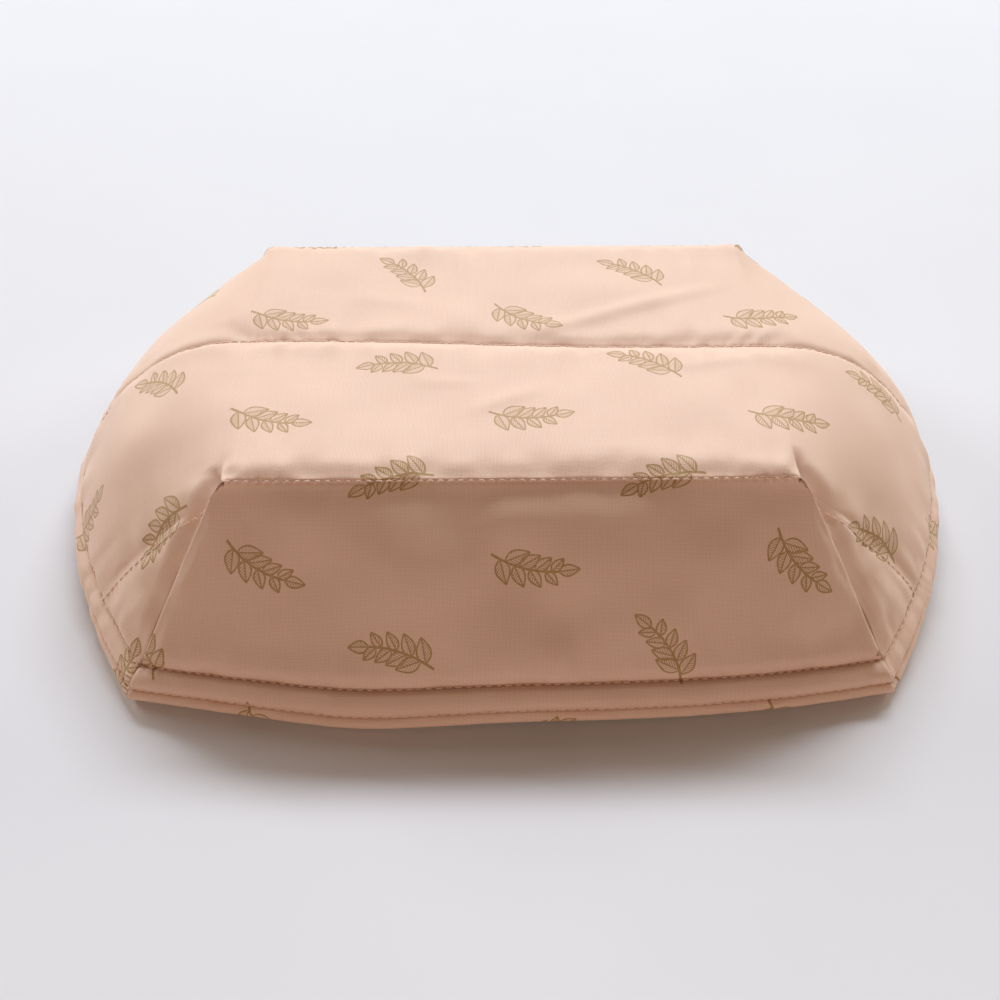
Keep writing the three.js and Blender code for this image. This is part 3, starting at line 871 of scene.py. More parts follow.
def make_layers():
    core = MIDDLE - LAYER_GAP / 2
    outer, inner = (
        np.clip(depth + FABRIC + 2 * LAYER_GAP, FABRIC, core - THINNEST_FILL)
        for depth in (SHELL_DEPTH, LINING_DEPTH)
    )
    outer_fill = tucked(outer), tucked(np.full(len(U), core))
    lining_fill = tucked(np.full(len(U), LOFT - core)), tucked(LOFT - inner)
    return {
        "outer_shell": layer("shell", shell_face, shell_back, (FACE_STEP, BACK_STEP), RIM),
        "outer_batting": layer("shell_wadding", *outer_fill, (FILL_STEP, FILL_STEP), LIP),
        "lining_batting": layer("lining_wadding", *lining_fill, (FILL_STEP, FILL_STEP), LIP),
        "lining": layer("inner_lining", lining_back, lining_face, (BACK_STEP, BACK_STEP), RIM),
    }


layers = make_layers()

# Node trees: a short way to add a node, and numbers that read as a formula


def add_node(tree, kind, inputs=(), **settings):
    """A node with its settings, and its inputs linked or set by name or number."""
    node = tree.nodes.new(kind)
    for key, value in settings.items():
        setattr(node, key, value)
    for key, value in dict(inputs).items():
        connect(tree, node.inputs[key], value)
    return node


def connect(tree, socket, value):
    if isinstance(value, Number):
        value = value.socket
    if isinstance(value, bpy.types.NodeSocket):
        tree.links.new(value, socket)
    else:
        socket.default_value = value


class Number:
    """A number carried by a node's socket."""

    def __init__(self, tree, socket):
        self.tree, self.socket = tree, socket

    def math(self, operation, *others):
        inputs = dict(enumerate([self, *others]))
        node = add_node(self.tree, "ShaderNodeMath", inputs, operation=operation)
        return Number(self.tree, node.outputs[0])

    def __add__(self, other):
        return self.math("ADD", other)

    def __sub__(self, other):
        return self.math("SUBTRACT", other)

    def __mul__(self, other):
        return self.math("MULTIPLY", other)

    def __truediv__(self, other):
        return self.math("DIVIDE", other)

    def __abs__(self):
        return self.math("ABSOLUTE")

    def mixed(self, other, share):
        """This number where share is 0 and the other where it is 1."""
        return self + (other - self) * share

    def within(self, limit, soft):
        """1 where the number is below the limit, fading to 0 over the soft width."""
        inputs = {0: self, 1: limit - soft, 2: limit + soft, 3: 1.0, 4: 0.0}
        kind = {"interpolation_type": "SMOOTHSTEP", "data_type": "FLOAT"}
        return Number(self.tree, add_node(self.tree, "ShaderNodeMapRange", inputs, **kind).outputs[0])


def new_group(name, kind, inputs, outputs):
    """An empty node group with its sockets, and the nodes that its sockets show as inside."""
    tree = bpy.data.node_groups.new(name, kind)
    for direction, sockets in (("INPUT", inputs), ("OUTPUT", outputs)):
        for label, (socket_kind, default) in sockets.items():
            socket = tree.interface.new_socket(label, in_out=direction, socket_type=socket_kind)
            if default is not None:
                socket.default_value = default
    return tree, tree.nodes.new("NodeGroupInput"), tree.nodes.new("NodeGroupOutput")


FLOAT, VECTOR, GEOMETRY = "NodeSocketFloat", "NodeSocketVector", "NodeSocketGeometry"


def placed_group(tree, group, **inputs):
    return add_node(tree, "ShaderNodeGroup", inputs, node_tree=group)


def vector_math(tree, operation, *inputs):
    node = add_node(tree, "ShaderNodeVectorMath", dict(enumerate(inputs)), operation=operation)
    return node.outputs[0]


def rotated(tree, place, angle):
    inputs = {"Vector": place, "Angle": angle}
    return add_node(tree, "ShaderNodeVectorRotate", inputs, rotation_type="Z_AXIS").outputs[0]


def across_and_along(tree, place):
    parts = add_node(tree, "ShaderNodeSeparateXYZ", {0: place})
    return [Number(tree, parts.outputs[k]) for k in range(2)]


def noise(tree, place, scale, detail):
    inputs = {"Vector": place, "Scale": scale, "Detail": detail}
    return Number(tree, add_node(tree, "ShaderNodeTexNoise", inputs).outputs["Fac"])


def attribute(tree, name):
    return Number(tree, add_node(tree, "ShaderNodeAttribute", attribute_name=name).outputs["Fac"])


# Stitches: short bowed lengths of thread along a row, each end sunk into its hole
STITCH_RADIUS, STITCH_SINK, STITCH_BOW, STITCH_SEED = 0.26, 0.3, 0.62, 5
STITCH_JITTER, LENGTH_JITTER, GIRTH_JITTER = 0.08, 0.07, 0.1
STITCH_SEGMENTS, STITCH_SIDES = 6, 6


def stitch_row_tree():
    """Stitches along a row, one at every pitch, as a plain mesh in the thread's material."""
    sizes = {
        "Row": (GEOMETRY, None),
        "Pitch": (FLOAT, STITCH_PITCH * MM),
        "Stitch Length": (FLOAT, STITCH_LENGTH * MM),
        "Thread Radius": (FLOAT, STITCH_RADIUS * MM),
        "Sink": (FLOAT, STITCH_SINK * MM),
        "Bow": (FLOAT, STITCH_BOW * MM),
        "Thread": ("NodeSocketMaterial", None),
    }
    tree, given, result = new_group("stitch_row", "GeometryNodeTree", sizes, {"Stitches": (GEOMETRY, None)})
    row = add_node(tree, "GeometryNodeMeshToCurve", {"Mesh": given.outputs["Row"]})
    inputs = {"Curve": row.outputs[0], "Length": given.outputs["Pitch"]}
    points = add_node(tree, "GeometryNodeResampleCurve", inputs, mode="LENGTH")
    placed = stitches_on(tree, points.outputs[0], one_stitch(tree, given))
    real = add_node(tree, "GeometryNodeRealizeInstances", {0: placed})
    smooth = add_node(tree, "GeometryNodeSetShadeSmooth", {0: real.outputs[0]})
    inputs = {"Geometry": smooth.outputs[0], "Material": given.outputs["Thread"]}
    painted = add_node(tree, "GeometryNodeSetMaterial", inputs)
    connect(tree, result.inputs["Stitches"], painted.outputs[0])
    return tree


def stitches_on(tree, points, stitch):
    """A stitch on every point, turned along the row, a little uneven in its size and its lie."""
    up = add_node(tree, "GeometryNodeInputNamedAttribute", {"Name": "up"}, data_type="FLOAT_VECTOR")
    along = add_node(tree, "GeometryNodeInputTangent")
    inputs = {0: up.outputs["Attribute"], 1: along.outputs[0]}
    turn = add_node(tree, "FunctionNodeAxesToRotation", inputs, primary_axis="Z", secondary_axis="X")
    scale = uneven(tree, (1, 1, 1), (LENGTH_JITTER, GIRTH_JITTER, GIRTH_JITTER), STITCH_SEED)
    inputs = {"Points": points, "Instance": stitch, "Rotation": turn.outputs[0], "Scale": scale}
    placed = add_node(tree, "GeometryNodeInstanceOnPoints", inputs)
    sway = uneven(tree, (0, 0, 0), (0, 0, STITCH_JITTER), STITCH_SEED + 1)
    inputs = {"Instances": placed.outputs[0], "Rotation": sway}
    return add_node(tree, "GeometryNodeRotateInstances", inputs).outputs[0]


def uneven(tree, middle, jitter, seed):
    """A random vector within its jitter of the middle."""
    low, high = (tuple(m + sign * j for m, j in zip(middle, jitter)) for sign in (-1, 1))
    inputs = {0: low, 1: high, "Seed": seed}
    return add_node(tree, "FunctionNodeRandomValue", inputs, data_type="FLOAT_VECTOR").outputs[0]


def one_stitch(tree, given):
    """A bowed thread along X, with its length and its girth stored for the twist of its strands."""
    length, sink = (Number(tree, given.outputs[name]) for name in ("Stitch Length", "Sink"))
    sunk = sink * -1.0

    def place(share, height):
        return add_node(tree, "ShaderNodeCombineXYZ", {"X": length * share, "Z": height}).outputs[0]

    ends = {"Start": place(-0.5, sunk), "Middle": place(0.0, given.outputs["Bow"]), "End": place(0.5, sunk)}
    line = add_node(tree, "GeometryNodeCurveQuadraticBezier", {**ends, "Resolution": STITCH_SEGMENTS})
    inputs = {"Resolution": STITCH_SIDES, "Radius": given.outputs["Thread Radius"]}
    ring = add_node(tree, "GeometryNodeCurvePrimitiveCircle", inputs, mode="RADIUS")
    inputs = {
        "Curve": stored(tree, line.outputs[0], "strand_length", "Length"),
        "Profile Curve": stored(tree, ring.outputs[0], "strand_girth", "Factor"),
        "Fill Caps": True,
    }
    return add_node(tree, "GeometryNodeCurveToMesh", inputs).outputs[0]


def stored(tree, curve_socket, name, measure):
    spline = add_node(tree, "GeometryNodeSplineParameter")
    inputs = {"Geometry": curve_socket, "Name": name, "Value": spline.outputs[measure]}
    return add_node(tree, "GeometryNodeStoreNamedAttribute", inputs, data_type="FLOAT").outputs[0]


def row_path(name, lines, ups, closed):
    """The lines that a row is sewn along as a mesh of edges, with the way up at every point."""
    edges, first = [], 0
    for line in lines:
        count = len(line)
        edges += [(first + n, first + (n + 1) % count) for n in range(count if closed else count - 1)]
        first += count
    path = bpy.data.meshes.new(name + "_path")
    path.from_pydata((np.concatenate(lines) * MM).tolist(), edges, [])
    up = path.attributes.new("up", "FLOAT_VECTOR", "POINT")
    up.data.foreach_set("vector", np.concatenate(ups).ravel())
    return path


def sew_row(name, path, tree, material):
    """A row of stitches along its path, as a plain mesh."""
    guide = add_object(name + "_guide", path)
    modifier = guide.modifiers.new("stitches", "NODES")
    modifier.node_group = tree
    modifier[tree.interface.items_tree["Thread"].identifier] = material
    bpy.context.view_layer.update()
    evaluated = guide.evaluated_get(bpy.context.evaluated_depsgraph_get())
    mesh = bpy.data.meshes.new_from_object(evaluated)
    guide.modifiers.remove(modifier)
    bpy.data.objects.remove(guide)
    mesh.name = name
    mesh.polygons.foreach_set("material_index", np.zeros(len(mesh.polygons), int))
    mesh.materials.clear()
    mesh.materials.append(material)
    return add_object(name, mesh)


ROW_CALM, ROW_ENDS = 5, {"front": 4, "back": 16}
THREAD_RISE, GORE_RISE, INNER_RISE_END, EDGE_RISE_END, DART_THREAD_FROM = 0.42, 0.15, -0.05, 0.2, 12
RUN_CLEARANCE_ROWS = 1


def calmed(places, closed):
    """A row's places averaged along it, so that the thread bridges the small dips."""
    half = ROW_CALM // 2
    if closed:
        padded = np.concatenate([places[-half:], places, places[:half]])
    else:
        padded = np.concatenate([places[:1]] * half + [places] + [places[-1:]] * half)
    return np.mean([padded[k : k + len(places)] for k in range(ROW_CALM)], axis=0)


# Each gore's flank column, and the way from there to its dart
GORES = {
    ("front", "left"): (GORE_FRONT_LEFT, 1),
    ("front", "right"): (FLANK_RIGHT, -1),
    ("back", "right"): (GORE_BACK_RIGHT, 1),
    ("back", "left"): (FLANK_LEFT, -1),
}


def plain_run(ids, rise=THREAD_RISE):
    """A run of stitches through mesh points: two for each place, a share between, and the thread's rise."""
    return ids, ids, np.zeros(len(ids)), rise


def gore_run(row, side):
    """Where a quilting row crosses the mesh rows of a gore, downwards from the dart."""
    first, step = GORES[row, side]
    near = (first + step * np.arange(GORE_COLUMNS + 1)) % len(cloth.columns)
    run = []
    for ids in cloth.columns[near, 1 : INNER - RUN_CLEARANCE_ROWS + 1].T:
        depths = np.abs(cloth.dart_flats[ids, 1])
        if depths[-1] > ROW_ON_FLANK:
            k = np.searchsorted(depths, ROW_ON_FLANK) - 1
            run.append((ids[k], ids[k + 1], (ROW_ON_FLANK - depths[k]) / (depths[k + 1] - depths[k])))
    here, there, share = zip(*run)
    return np.array(here), np.array(there), np.array(share), GORE_RISE


def quilting_runs(row):
    """The front and back rows stop at the darts, and the centre row runs from rim to rim."""
    if row != "centre":
        spare = ROW_ENDS[row]
        base = cloth.grid[0 if row == "front" else -1, spare:-spare]
        return [gore_run(row, "left"), plain_run(base), gore_run(row, "right")]
    middle = FLANK_COLUMNS // 2
    last = INNER - RUN_CLEARANCE_ROWS
    left = cloth.columns[FLANK_LEFT + middle, last:0:-1]
    right = cloth.columns[FLANK_RIGHT + middle, 1 : last + 1]
    return [plain_run(np.concatenate([left, cloth.grid[middle], right]))]


def on_run(values, run):
    here, there, share, _ = run
    return mix(values[here], values[there], share[:, None])


def rim_ids(row):
    """Points of a row round the rim, from the middle of the back."""
    return np.roll(cloth.columns[:, row], -(END_BACK + END_COLUMNS // 2))


def make_stitching(thread):
    """Every row of stitches by the node that it stands for."""
    tree = stitch_row_tree()
    sewn = {}

    def sew(node, face, runs, outward=True, closed=False):
        ups = [on_run(INWARD, run) * (-1 if outward else 1) for run in runs]
        rises = [np.reshape(run[-1], (-1, 1)) for run in runs]
        faces = [calmed(on_run(face, run), closed) for run in runs]
        lines = [place + up * rise for place, up, rise in zip(faces, ups, rises)]
        name = node + "_stitches"
        sewn[node] = sew_row(name, row_path(name, lines, ups, closed), tree, thread)

    for row in ROW_DEPTHS:
        runs = quilting_runs(row)
        sew(f"shell_quilting_thread_{row}", shell_face, runs)
        sew(f"lining_quilting_thread_{row}", lining_face, runs, outward=False)
    for name, row, rise_on_end in (("edge", EDGE, EDGE_RISE_END), ("inner", INNER, INNER_RISE_END)):
        ids = rim_ids(row)
        rise = np.where(cloth.panel[ids] == END, rise_on_end, THREAD_RISE)
        sew(f"rim_{name}_topstitch", shell_face, [plain_run(ids, rise)], closed=True)
        sew(f"rim_{name}_bobbin_thread", lining_face, [plain_run(ids)], outward=False, closed=True)
    offset = (THREAD + THREAD_GAP) / 2
    for layer_name, depth in (("shell", MIDDLE - offset), ("lining", MIDDLE + offset)):
        face = face_places(np.full(len(U), depth))
        for corner, column in DARTS.items():
            run = plain_run(cloth.columns[column, DART_THREAD_FROM : EDGE + 1])
            sew(f"{layer_name}_dart_thread_{corner}", face, [run])
    seam = face_places(np.full(len(U), MIDDLE), np.full(len(U), RIM_SEAM - ROLL_START))
    sew("rim_seam_thread", seam, [plain_run(rim_ids(LIP))], closed=True)
    return sewn


# Plain weave, shared by the shell and the lining: threads that wander a little, and their slubs
WEAVE_PITCH, WEAVE_SLUBS = 0.42, 0.08
WANDER_SCALE, WANDER = 0.35, 0.5
UNDER_HEIGHT, OVER_RISE = 0.55, 0.45
SLUB_STRETCH, SLUB_HEIGHT = ((0.05, 2.1, 1), (2.1, 0.05, 1)), 0.8
TONE_MIDDLE, PAINTED_SHADE_BY_HEIGHT, TONE_BY_THREAD = 0.6, 0.45, 0.07


def weave_group():
    """Plain weave over flat millimetres: the height of its threads, and a tone with shade painted between
    them and with its slubs.
    """
    sockets = {"Flat": (VECTOR, None), "Pitch": (FLOAT, WEAVE_PITCH), "Slubs": (FLOAT, WEAVE_SLUBS)}
    outputs = {"Height": (FLOAT, None), "Tone": (FLOAT, None)}
    tree, given, result = new_group("plain_weave", "ShaderNodeTree", sockets, outputs)
    flat = given.outputs["Flat"]
    wander = add_node(tree, "ShaderNodeTexNoise", {"Vector": flat, "Scale": WANDER_SCALE, "Detail": 1.0})
    shift = vector_math(tree, "SUBTRACT", wander.outputs["Color"], (0.5, 0.5, 0.5))
    bent = vector_math(tree, "MULTIPLY_ADD", shift, (WANDER, WANDER, 0), flat)
    across, along = (part / given.outputs["Pitch"] for part in across_and_along(tree, bent))
    warp, weft = ((part.math("FRACT") * math.pi).math("SINE") for part in (across, along))
    over = (across.math("FLOOR") + along.math("FLOOR")).math("FLOORED_MODULO", 2.0)
    crossing = warp * (weft * OVER_RISE + UNDER_HEIGHT)
    height = crossing.mixed(weft * (warp * OVER_RISE + UNDER_HEIGHT), over)
    warp_slub, weft_slub = (thread_noise(tree, flat, stretch) for stretch in SLUB_STRETCH)
    slub = warp_slub + weft_slub - 1.0
    # The tone is darker where the threads lie low and lighter on their crests: shade and light painted into
    # the colour. It differs a little between the threads on top.
    tone = (height - TONE_MIDDLE) * PAINTED_SHADE_BY_HEIGHT + (over - 0.5) * TONE_BY_THREAD
    connect(tree, result.inputs["Height"], height + slub * SLUB_HEIGHT)
    connect(tree, result.inputs["Tone"], tone + slub * given.outputs["Slubs"])
    return tree


def thread_noise(tree, flat, stretch):
    """Noise drawn out along the threads of one direction."""
    return noise(tree, vector_math(tree, "MULTIPLY", flat, stretch), 1.0, detail=2.0)


# The print: leaf sprigs drawn in gold line, tossed over the cloth in a half drop
REPEAT_X, REPEAT_Y, START_X, START_Y = 43.0, 56.0, 0.37, 0.21
SPRIG_TURN, SPRIG_TOSS = 0.5, 1.5
PRINT_LINE, PRINT_SOFT, MIDRIB_LINE, STEM_LINE = 0.3, 0.12, 0.8, 1.5
LEAF_PAIRS, LEAF_LENGTH, LEAF_WIDTH, LEAF_TURN = 4, 8.6, 2.3, 0.85
LEAF_BULGE, LEAF_ENDS, LEAF_STAGGER, LAST_PAIR_SIZE = 0.8, 0.01, 0.9, 0.68
FIRST_PAIR_IN, LAST_PAIR_IN, TIP_LEAF_TURN, TIP_LEAF_SIZE = 4, 3, 0.42, 0.8
STEM_START, STEM_END, STEM_BEND, STEM_LOW_AT, STEM_LOW = -13.0, 9.0, 0.016, -3.0, 1.6
HATCH_PITCH, HATCH_SLANT, HATCH_LINE, HATCH_SOFT, HATCH_FAINT = 0.95, 0.9, 0.2, 0.12, 0.5


def leaf_group():
    """One leaf in outline, with its midrib and a hatched half."""
    sockets = {
        "Place": (VECTOR, None),
        "Root": (VECTOR, None),
        "Turn": (FLOAT, 0.0),
        "Length": (FLOAT, LEAF_LENGTH),
        "Width": (FLOAT, LEAF_WIDTH),
    }
    tree, given, result = new_group("printed_leaf", "ShaderNodeTree", sockets, {"Ink": (FLOAT, None)})
    away = vector_math(tree, "SUBTRACT", given.outputs["Place"], given.outputs["Root"])
    straight = rotated(tree, away, Number(tree, given.outputs["Turn"]) * -1.0)
    x, y = across_and_along(tree, straight)
    share = x / given.outputs["Length"]
    on_leaf = abs(share - 0.5).within(0.5, LEAF_ENDS)
    bulge = share.math("MAXIMUM", 0.0).math("MINIMUM", 1.0).math("POWER", LEAF_BULGE)
    edge = abs(y) - (bulge * math.pi).math("SINE") * given.outputs["Width"]
    outline = abs(edge).within(PRINT_LINE, PRINT_SOFT)
    midrib = abs(y).within(PRINT_LINE * MIDRIB_LINE, PRINT_SOFT)
    slant = (x - abs(y) * HATCH_SLANT) / HATCH_PITCH
    stripe = abs(slant.math("FRACT") - 0.5).within(HATCH_LINE, HATCH_SOFT)
    shade = y.within(0.0, PRINT_SOFT) * (1 - HATCH_FAINT) + HATCH_FAINT
    hatch = stripe * edge.within(0.0, PRINT_SOFT) * shade
    ink = outline.math("MAXIMUM", midrib).math("MAXIMUM", hatch) * on_leaf
    connect(tree, result.inputs["Ink"], ink)
    return tree


def stem_height(x):
    """Height of the bent stem at a place along it, for a plain number or a socket's."""
    past = x - STEM_LOW_AT
    return past * past * STEM_BEND - STEM_LOW


def sprig_leaves():
    """The inputs of each leaf: pairs that shrink towards the tip, and the one at the tip."""
    leaves = []

    def add_leaf(x, turn, size):
        sizes = {"Length": LEAF_LENGTH * size, "Width": LEAF_WIDTH * size}
        leaves.append({"Root": (x, stem_height(x), 0), "Turn": turn, **sizes})

    for pair in range(LEAF_PAIRS):
        share = pair / (LEAF_PAIRS - 1)
        x = mix(STEM_START + FIRST_PAIR_IN, STEM_END - LAST_PAIR_IN, share)
        lean = math.atan(2 * STEM_BEND * (x - STEM_LOW_AT))
        for side in (-1, 1):
            add_leaf(x + side * LEAF_STAGGER, lean + side * LEAF_TURN, mix(1, LAST_PAIR_SIZE, share))
    add_leaf(STEM_END, TIP_LEAF_TURN, TIP_LEAF_SIZE)
    return leaves


def sprig_group():
    """Where the ink lies: one sprig in each cell of the half drop, turned its own way."""
    sockets, outputs = {"Flat": (VECTOR, None)}, {"Ink": (FLOAT, None)}
    tree, given, result = new_group("printed_sprigs", "ShaderNodeTree", sockets, outputs)
    x, y = across_and_along(tree, given.outputs["Flat"])
    across = x / REPEAT_X + START_X
    column = across.math("FLOOR")
    drop = column.math("FLOORED_MODULO", 2.0)
    along = y / REPEAT_Y + drop * 0.5 + START_Y
    cell = add_node(tree, "ShaderNodeCombineXYZ", {0: column, 1: along.math("FLOOR")})
    chance = add_node(tree, "ShaderNodeTexWhiteNoise", {"Vector": cell.outputs[0]}, noise_dimensions="3D")
    turn = (Number(tree, chance.outputs["Value"]) - 0.5) * SPRIG_TOSS + drop * math.pi + SPRIG_TURN
    inputs = {0: (across.math("FRACT") - 0.5) * REPEAT_X, 1: (along.math("FRACT") - 0.5) * REPEAT_Y}
    place = rotated(tree, add_node(tree, "ShaderNodeCombineXYZ", inputs).outputs[0], turn)
    ink = stem_ink(tree, place)
    leaf = leaf_group()
    for inputs in sprig_leaves():
        ink = ink.math("MAXIMUM", placed_group(tree, leaf, Place=place, **inputs).outputs["Ink"])
    connect(tree, result.inputs["Ink"], ink)
    return tree


def stem_ink(tree, place):
    x, y = across_and_along(tree, place)
    middle, half = (STEM_START + STEM_END) / 2, (STEM_END - STEM_START) / 2
    on_stem = abs(x - middle).within(half, PRINT_SOFT)
    return abs(y - stem_height(x)).within(PRINT_LINE * STEM_LINE, PRINT_SOFT) * on_stem


# Materials: colours, then gloss, unevenness and bump
PEACH, PEACH_DEEP = (0.92, 0.65, 0.515, 1), (0.88, 0.595, 0.46, 1)
CREAM, CREAM_DEEP = (0.84, 0.76, 0.66, 1), (0.78, 0.69, 0.58, 1)
# The colour after the gold is the shade painted into the narrow folds
GOLD, PAINTED_SHADE_COLOR = (0.42, 0.235, 0.045, 1), (0.5, 0.36, 0.3, 1)
WADDING_PALE, WADDING_DEEP = (0.9, 0.87, 0.8, 1), (0.78, 0.74, 0.66, 1)
# The thread's second colour is the shade painted into the grooves between its strands
THREAD_PEACH, THREAD_PAINTED_SHADE = (0.96, 0.77, 0.65, 1), (0.86, 0.61, 0.48, 1)
SPECULAR, SHEEN_ROUGHNESS = 0.25, 0.5
COTTON_ROUGHNESS, COTTON_SHEEN, COTTON_SPECULAR = 0.62, 0.1, 0.5
WADDING_ROUGHNESS, WADDING_SHEEN, THREAD_ROUGHNESS = 1.0, 0.3, 0.8
PATCH_SCALE, PATCH_SHARE = 0.03, 0.6
INK_SCALE, INK_WEAR, INK_LEAST, INK_MOST, INK_GLOSS = 1.1, 0.7, 0.5, 0.95, 0.12
WEAVE_BUMP, WEAVE_STRENGTH = 0.05, 0.6
FIBRE_SCALE, FIBRE_BUMP, FIBRE_STRENGTH = 900.0, 0.4, 0.8
STRAND_PITCH, STRANDS, STRAND_BUMP, STRAND_STRENGTH = 0.55, 2.0, 0.05, 0.7


def new_material(name, roughness, sheen, specular=SPECULAR):
    material = bpy.data.materials.new(name)
    material.use_nodes = True
    shader = material.node_tree.nodes["Principled BSDF"]
    shader.inputs["Roughness"].default_value = roughness
    shader.inputs["Sheen Weight"].default_value = sheen
    shader.inputs["Sheen Roughness"].default_value = SHEEN_ROUGHNESS
    shader.inputs["Specular IOR Level"].default_value = specular
    return material, material.node_tree, shader


def flat_millimetres(tree):
    uv = add_node(tree, "ShaderNodeUVMap", uv_map="pattern").outputs[0]
    inputs = {0: uv, "Scale": 1 / MM}
    return add_node(tree, "ShaderNodeVectorMath", inputs, operation="SCALE").outputs[0]


def mixed_color(tree, a, b, share, blend="MIX"):
    inputs = {0: share, 6: a, 7: b}
    return add_node(tree, "ShaderNodeMix", inputs, data_type="RGBA", blend_type=blend).outputs[2]


def toned(tree, color, tone):
    """A colour made lighter or darker by a tone round 0."""
    grey = add_node(tree, "ShaderNodeCombineColor", {k: tone + 1.0 for k in range(3)}).outputs[0]
    return mixed_color(tree, color, grey, 1.0, "MULTIPLY")


def finish(tree, shader, color, height, strength, distance):
    """Gives a shader its colour, and its bump over a distance in millimetres."""
    inputs = {"Height": height, "Strength": strength, "Distance": distance * MM}
    connect(tree, shader.inputs["Base Color"], color)
    connect(tree, shader.inputs["Normal"], add_node(tree, "ShaderNodeBump", inputs).outputs[0])


def cotton(name, weave, light, deep, ink_group=None):
    """Woven cotton on the flat pattern, with a print where an ink group is given."""
    material, tree, shader = new_material(name, COTTON_ROUGHNESS, COTTON_SHEEN, COTTON_SPECULAR)
    flat = flat_millimetres(tree)
    woven = placed_group(tree, weave, Flat=flat, Pitch=WEAVE_PITCH, Slubs=WEAVE_SLUBS)
    color = mixed_color(tree, light, deep, noise(tree, flat, PATCH_SCALE, detail=3.0) * PATCH_SHARE)
    if ink_group:
        drawn = Number(tree, placed_group(tree, ink_group, Flat=flat).outputs["Ink"])
        worn = noise(tree, flat, INK_SCALE, detail=2.0) * INK_WEAR + INK_LEAST
        ink = drawn * worn.math("MINIMUM", INK_MOST)
        color = mixed_color(tree, color, GOLD, ink)
        connect(tree, shader.inputs["Roughness"], ink * -INK_GLOSS + COTTON_ROUGHNESS)
    # Shade painted into the narrow folds darkens the cloth's colour there
    color = mixed_color(tree, color, PAINTED_SHADE_COLOR, attribute(tree, "painted_fold_shade"), "MULTIPLY")
    color = toned(tree, color, Number(tree, woven.outputs["Tone"]))
    finish(tree, shader, color, woven.outputs["Height"], WEAVE_STRENGTH, WEAVE_BUMP)
    return material


def wadding_material():
    material, tree, shader = new_material("needled_wadding", WADDING_ROUGHNESS, WADDING_SHEEN)
    place = add_node(tree, "ShaderNodeTexCoord").outputs["Object"]
    fibres = noise(tree, place, FIBRE_SCALE, detail=6.0)
    color = mixed_color(tree, WADDING_PALE, WADDING_DEEP, fibres)
    finish(tree, shader, color, fibres, FIBRE_STRENGTH, FIBRE_BUMP)
    return material


def thread_material():
    """Sewing thread with the slant of its twisted strands, and shade painted into the grooves between them.
    """
    material, tree, shader = new_material("sewing_thread", THREAD_ROUGHNESS, sheen=0.0)
    length, girth = (attribute(tree, name) for name in ("strand_length", "strand_girth"))
    turns = length / (STRAND_PITCH * MM) + girth * STRANDS
    twist = (turns * 2.0 * math.pi).math("SINE") * 0.5 + 0.5
    # The darker colour follows the grooves of the twist: painted shade
    color = mixed_color(tree, THREAD_PAINTED_SHADE, THREAD_PEACH, twist)
    finish(tree, shader, color, twist, STRAND_STRENGTH, STRAND_BUMP)
    return material


weave = weave_group()
thread = thread_material()
stitching = make_stitching(thread)
finishes = {
    "outer_shell": cotton("printed_cotton", weave, PEACH, PEACH_DEEP, sprig_group()),
    "lining": cotton("plain_cotton", weave, CREAM, CREAM_DEEP),
}
wadding = wadding_material()
for node, piece in layers.items():
    piece.data.materials.append(finishes.get(node, wadding))

# Table and lamps, in metres: each lamp has its place, size, watts and colour
TABLE_SIZE, TABLE_ROUGHNESS, MOTTLE_SCALE = 3.6, 0.55, 14.0
TABLE_PALE, TABLE_DEEP = (0.78, 0.77, 0.81, 1), (0.75, 0.74, 0.78, 1)
LAMP_AIM = (0, 0, 0.03)
LAMPS = {
    "window": ((0.4, 3.5, 3.55), (4.2, 0.6), 264, (0.86, 0.93, 1)),
    "front_fill": ((0, -1.6, 0.7), (2.0, 0.8), 7.5, (1, 0.68, 0.46)),
    "left_fill": ((-2.2, 1.3, 1.0), (1.4, 1.0), 34, (0.98, 1, 0.93)),
    "right_fill": ((2.2, 1.3, 1.0), (1.4, 1.0), 23, (1, 1, 0.83)),
}


def make_table():
    h = TABLE_SIZE / 2
    mesh = bpy.data.meshes.new("table")
    mesh.from_pydata([(-h, -h, 0), (h, -h, 0), (h, h, 0), (-h, h, 0)], [], [(0, 1, 2, 3)])
    material, tree, shader = new_material("pale_table", TABLE_ROUGHNESS, sheen=0.0)
    place = add_node(tree, "ShaderNodeTexCoord").outputs["Object"]
    color = mixed_color(tree, TABLE_PALE, TABLE_DEEP, noise(tree, place, MOTTLE_SCALE, detail=3.0))
    connect(tree, shader.inputs["Base Color"], color)
    mesh.materials.append(material)
    add_object("table", mesh)


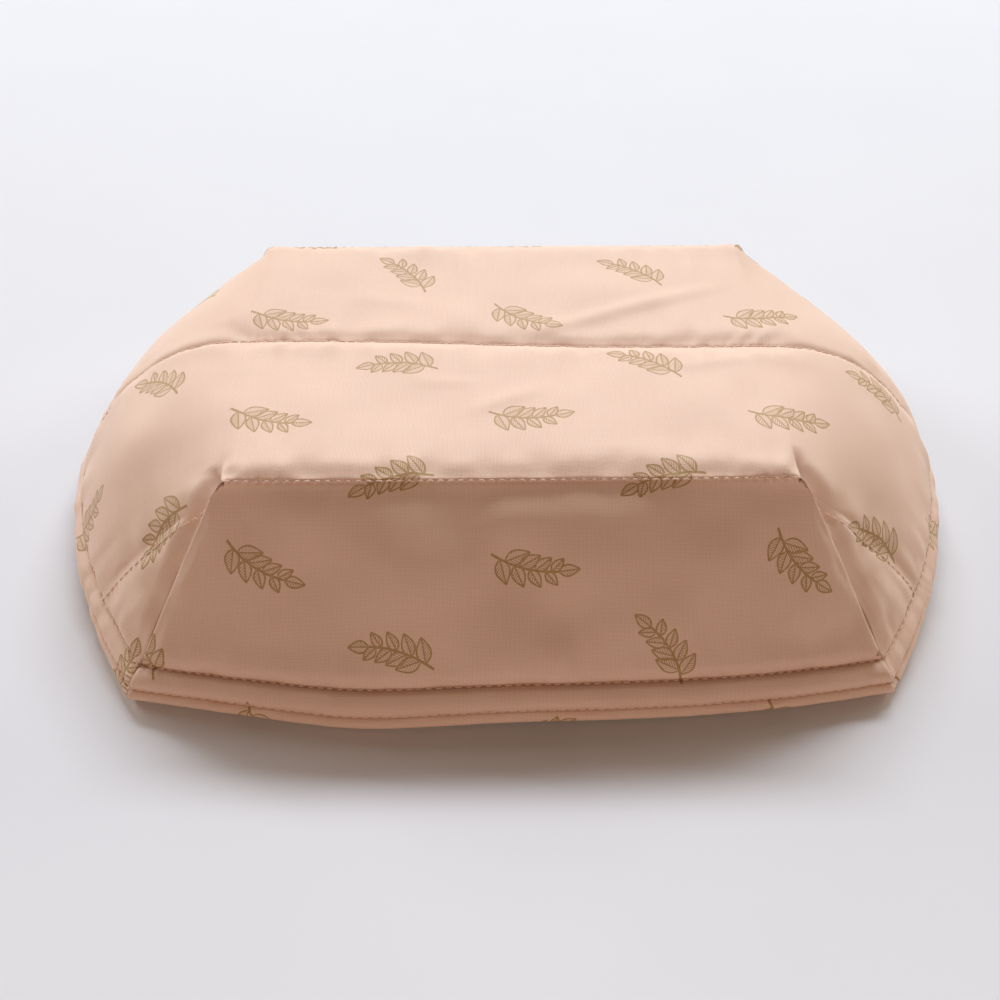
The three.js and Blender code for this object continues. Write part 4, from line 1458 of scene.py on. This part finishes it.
def hang_lamps():
    for name, (place, size, watts, color) in LAMPS.items():
        data = bpy.data.lights.new(name, "AREA")
        data.shape = "RECTANGLE"
        data.size, data.size_y = size
        data.energy = watts
        data.color = color
        lamp = add_object(name, data)
        lamp.location = place
        lamp.rotation_euler = (Vector(LAMP_AIM) - Vector(place)).to_track_quat("-Z", "Y").to_euler()
        lamp.visible_camera = False


make_table()
hang_lamps()

# The room gives a weak warm light, and is pale where it is seen behind the table
ROOM_LIGHT, ROOM_SEEN = (0.09, 0.065, 0.052, 1), (0.68, 0.67, 0.69, 1)


def make_room():
    world = bpy.data.worlds.new("studio")
    world.use_nodes = True
    tree = world.node_tree
    seen = add_node(tree, "ShaderNodeLightPath").outputs["Is Camera Ray"]
    color = mixed_color(tree, ROOM_LIGHT, ROOM_SEEN, seen)
    connect(tree, tree.nodes["Background"].inputs["Color"], color)
    bpy.context.scene.world = world


make_room()

# The photograph's view: aim point, distance and angles found from the sewn lines in it
VIEW_AIM = (-2.7, -50.3, 40)
VIEW_DISTANCE, VIEW_ELEVATION, VIEW_YAW, VIEW_ROLL = 407.9, 44.3, 1.0, 0.3
LENS, SENSOR, CLIP_START = 43.2, 36, 0.01


def make_camera():
    elevation, yaw, roll = (math.radians(a) for a in (VIEW_ELEVATION, VIEW_YAW, VIEW_ROLL))
    turn = Matrix.Rotation(-yaw, 3, "Z")
    back = Vector((0, -math.cos(elevation), math.sin(elevation)))
    aim = Vector(VIEW_AIM) + Vector((0, 0, LIFT))
    right, up = Vector((1, 0, 0)), Vector((0, math.sin(elevation), math.cos(elevation)))
    axes = (
        right * math.cos(roll) + up * math.sin(roll),
        up * math.cos(roll) - right * math.sin(roll),
        back,
    )
    data = bpy.data.cameras.new("camera")
    data.lens, data.sensor_width, data.clip_start = LENS, SENSOR, CLIP_START
    camera = add_object("camera", data)
    columns = Matrix([turn @ axis for axis in axes]).transposed().to_4x4()
    columns.translation = turn @ (aim + back * VIEW_DISTANCE) * MM
    camera.matrix_world = columns
    bpy.context.scene.camera = camera


make_camera()
bpy.context.scene.view_settings.view_transform = "Standard"


def declare():
    for node, piece in {**layers, **stitching}.items():
        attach(piece, "root")
        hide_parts(node)
        default = "cotton_wadding" if node in layers else "sewing_thread"


declare()
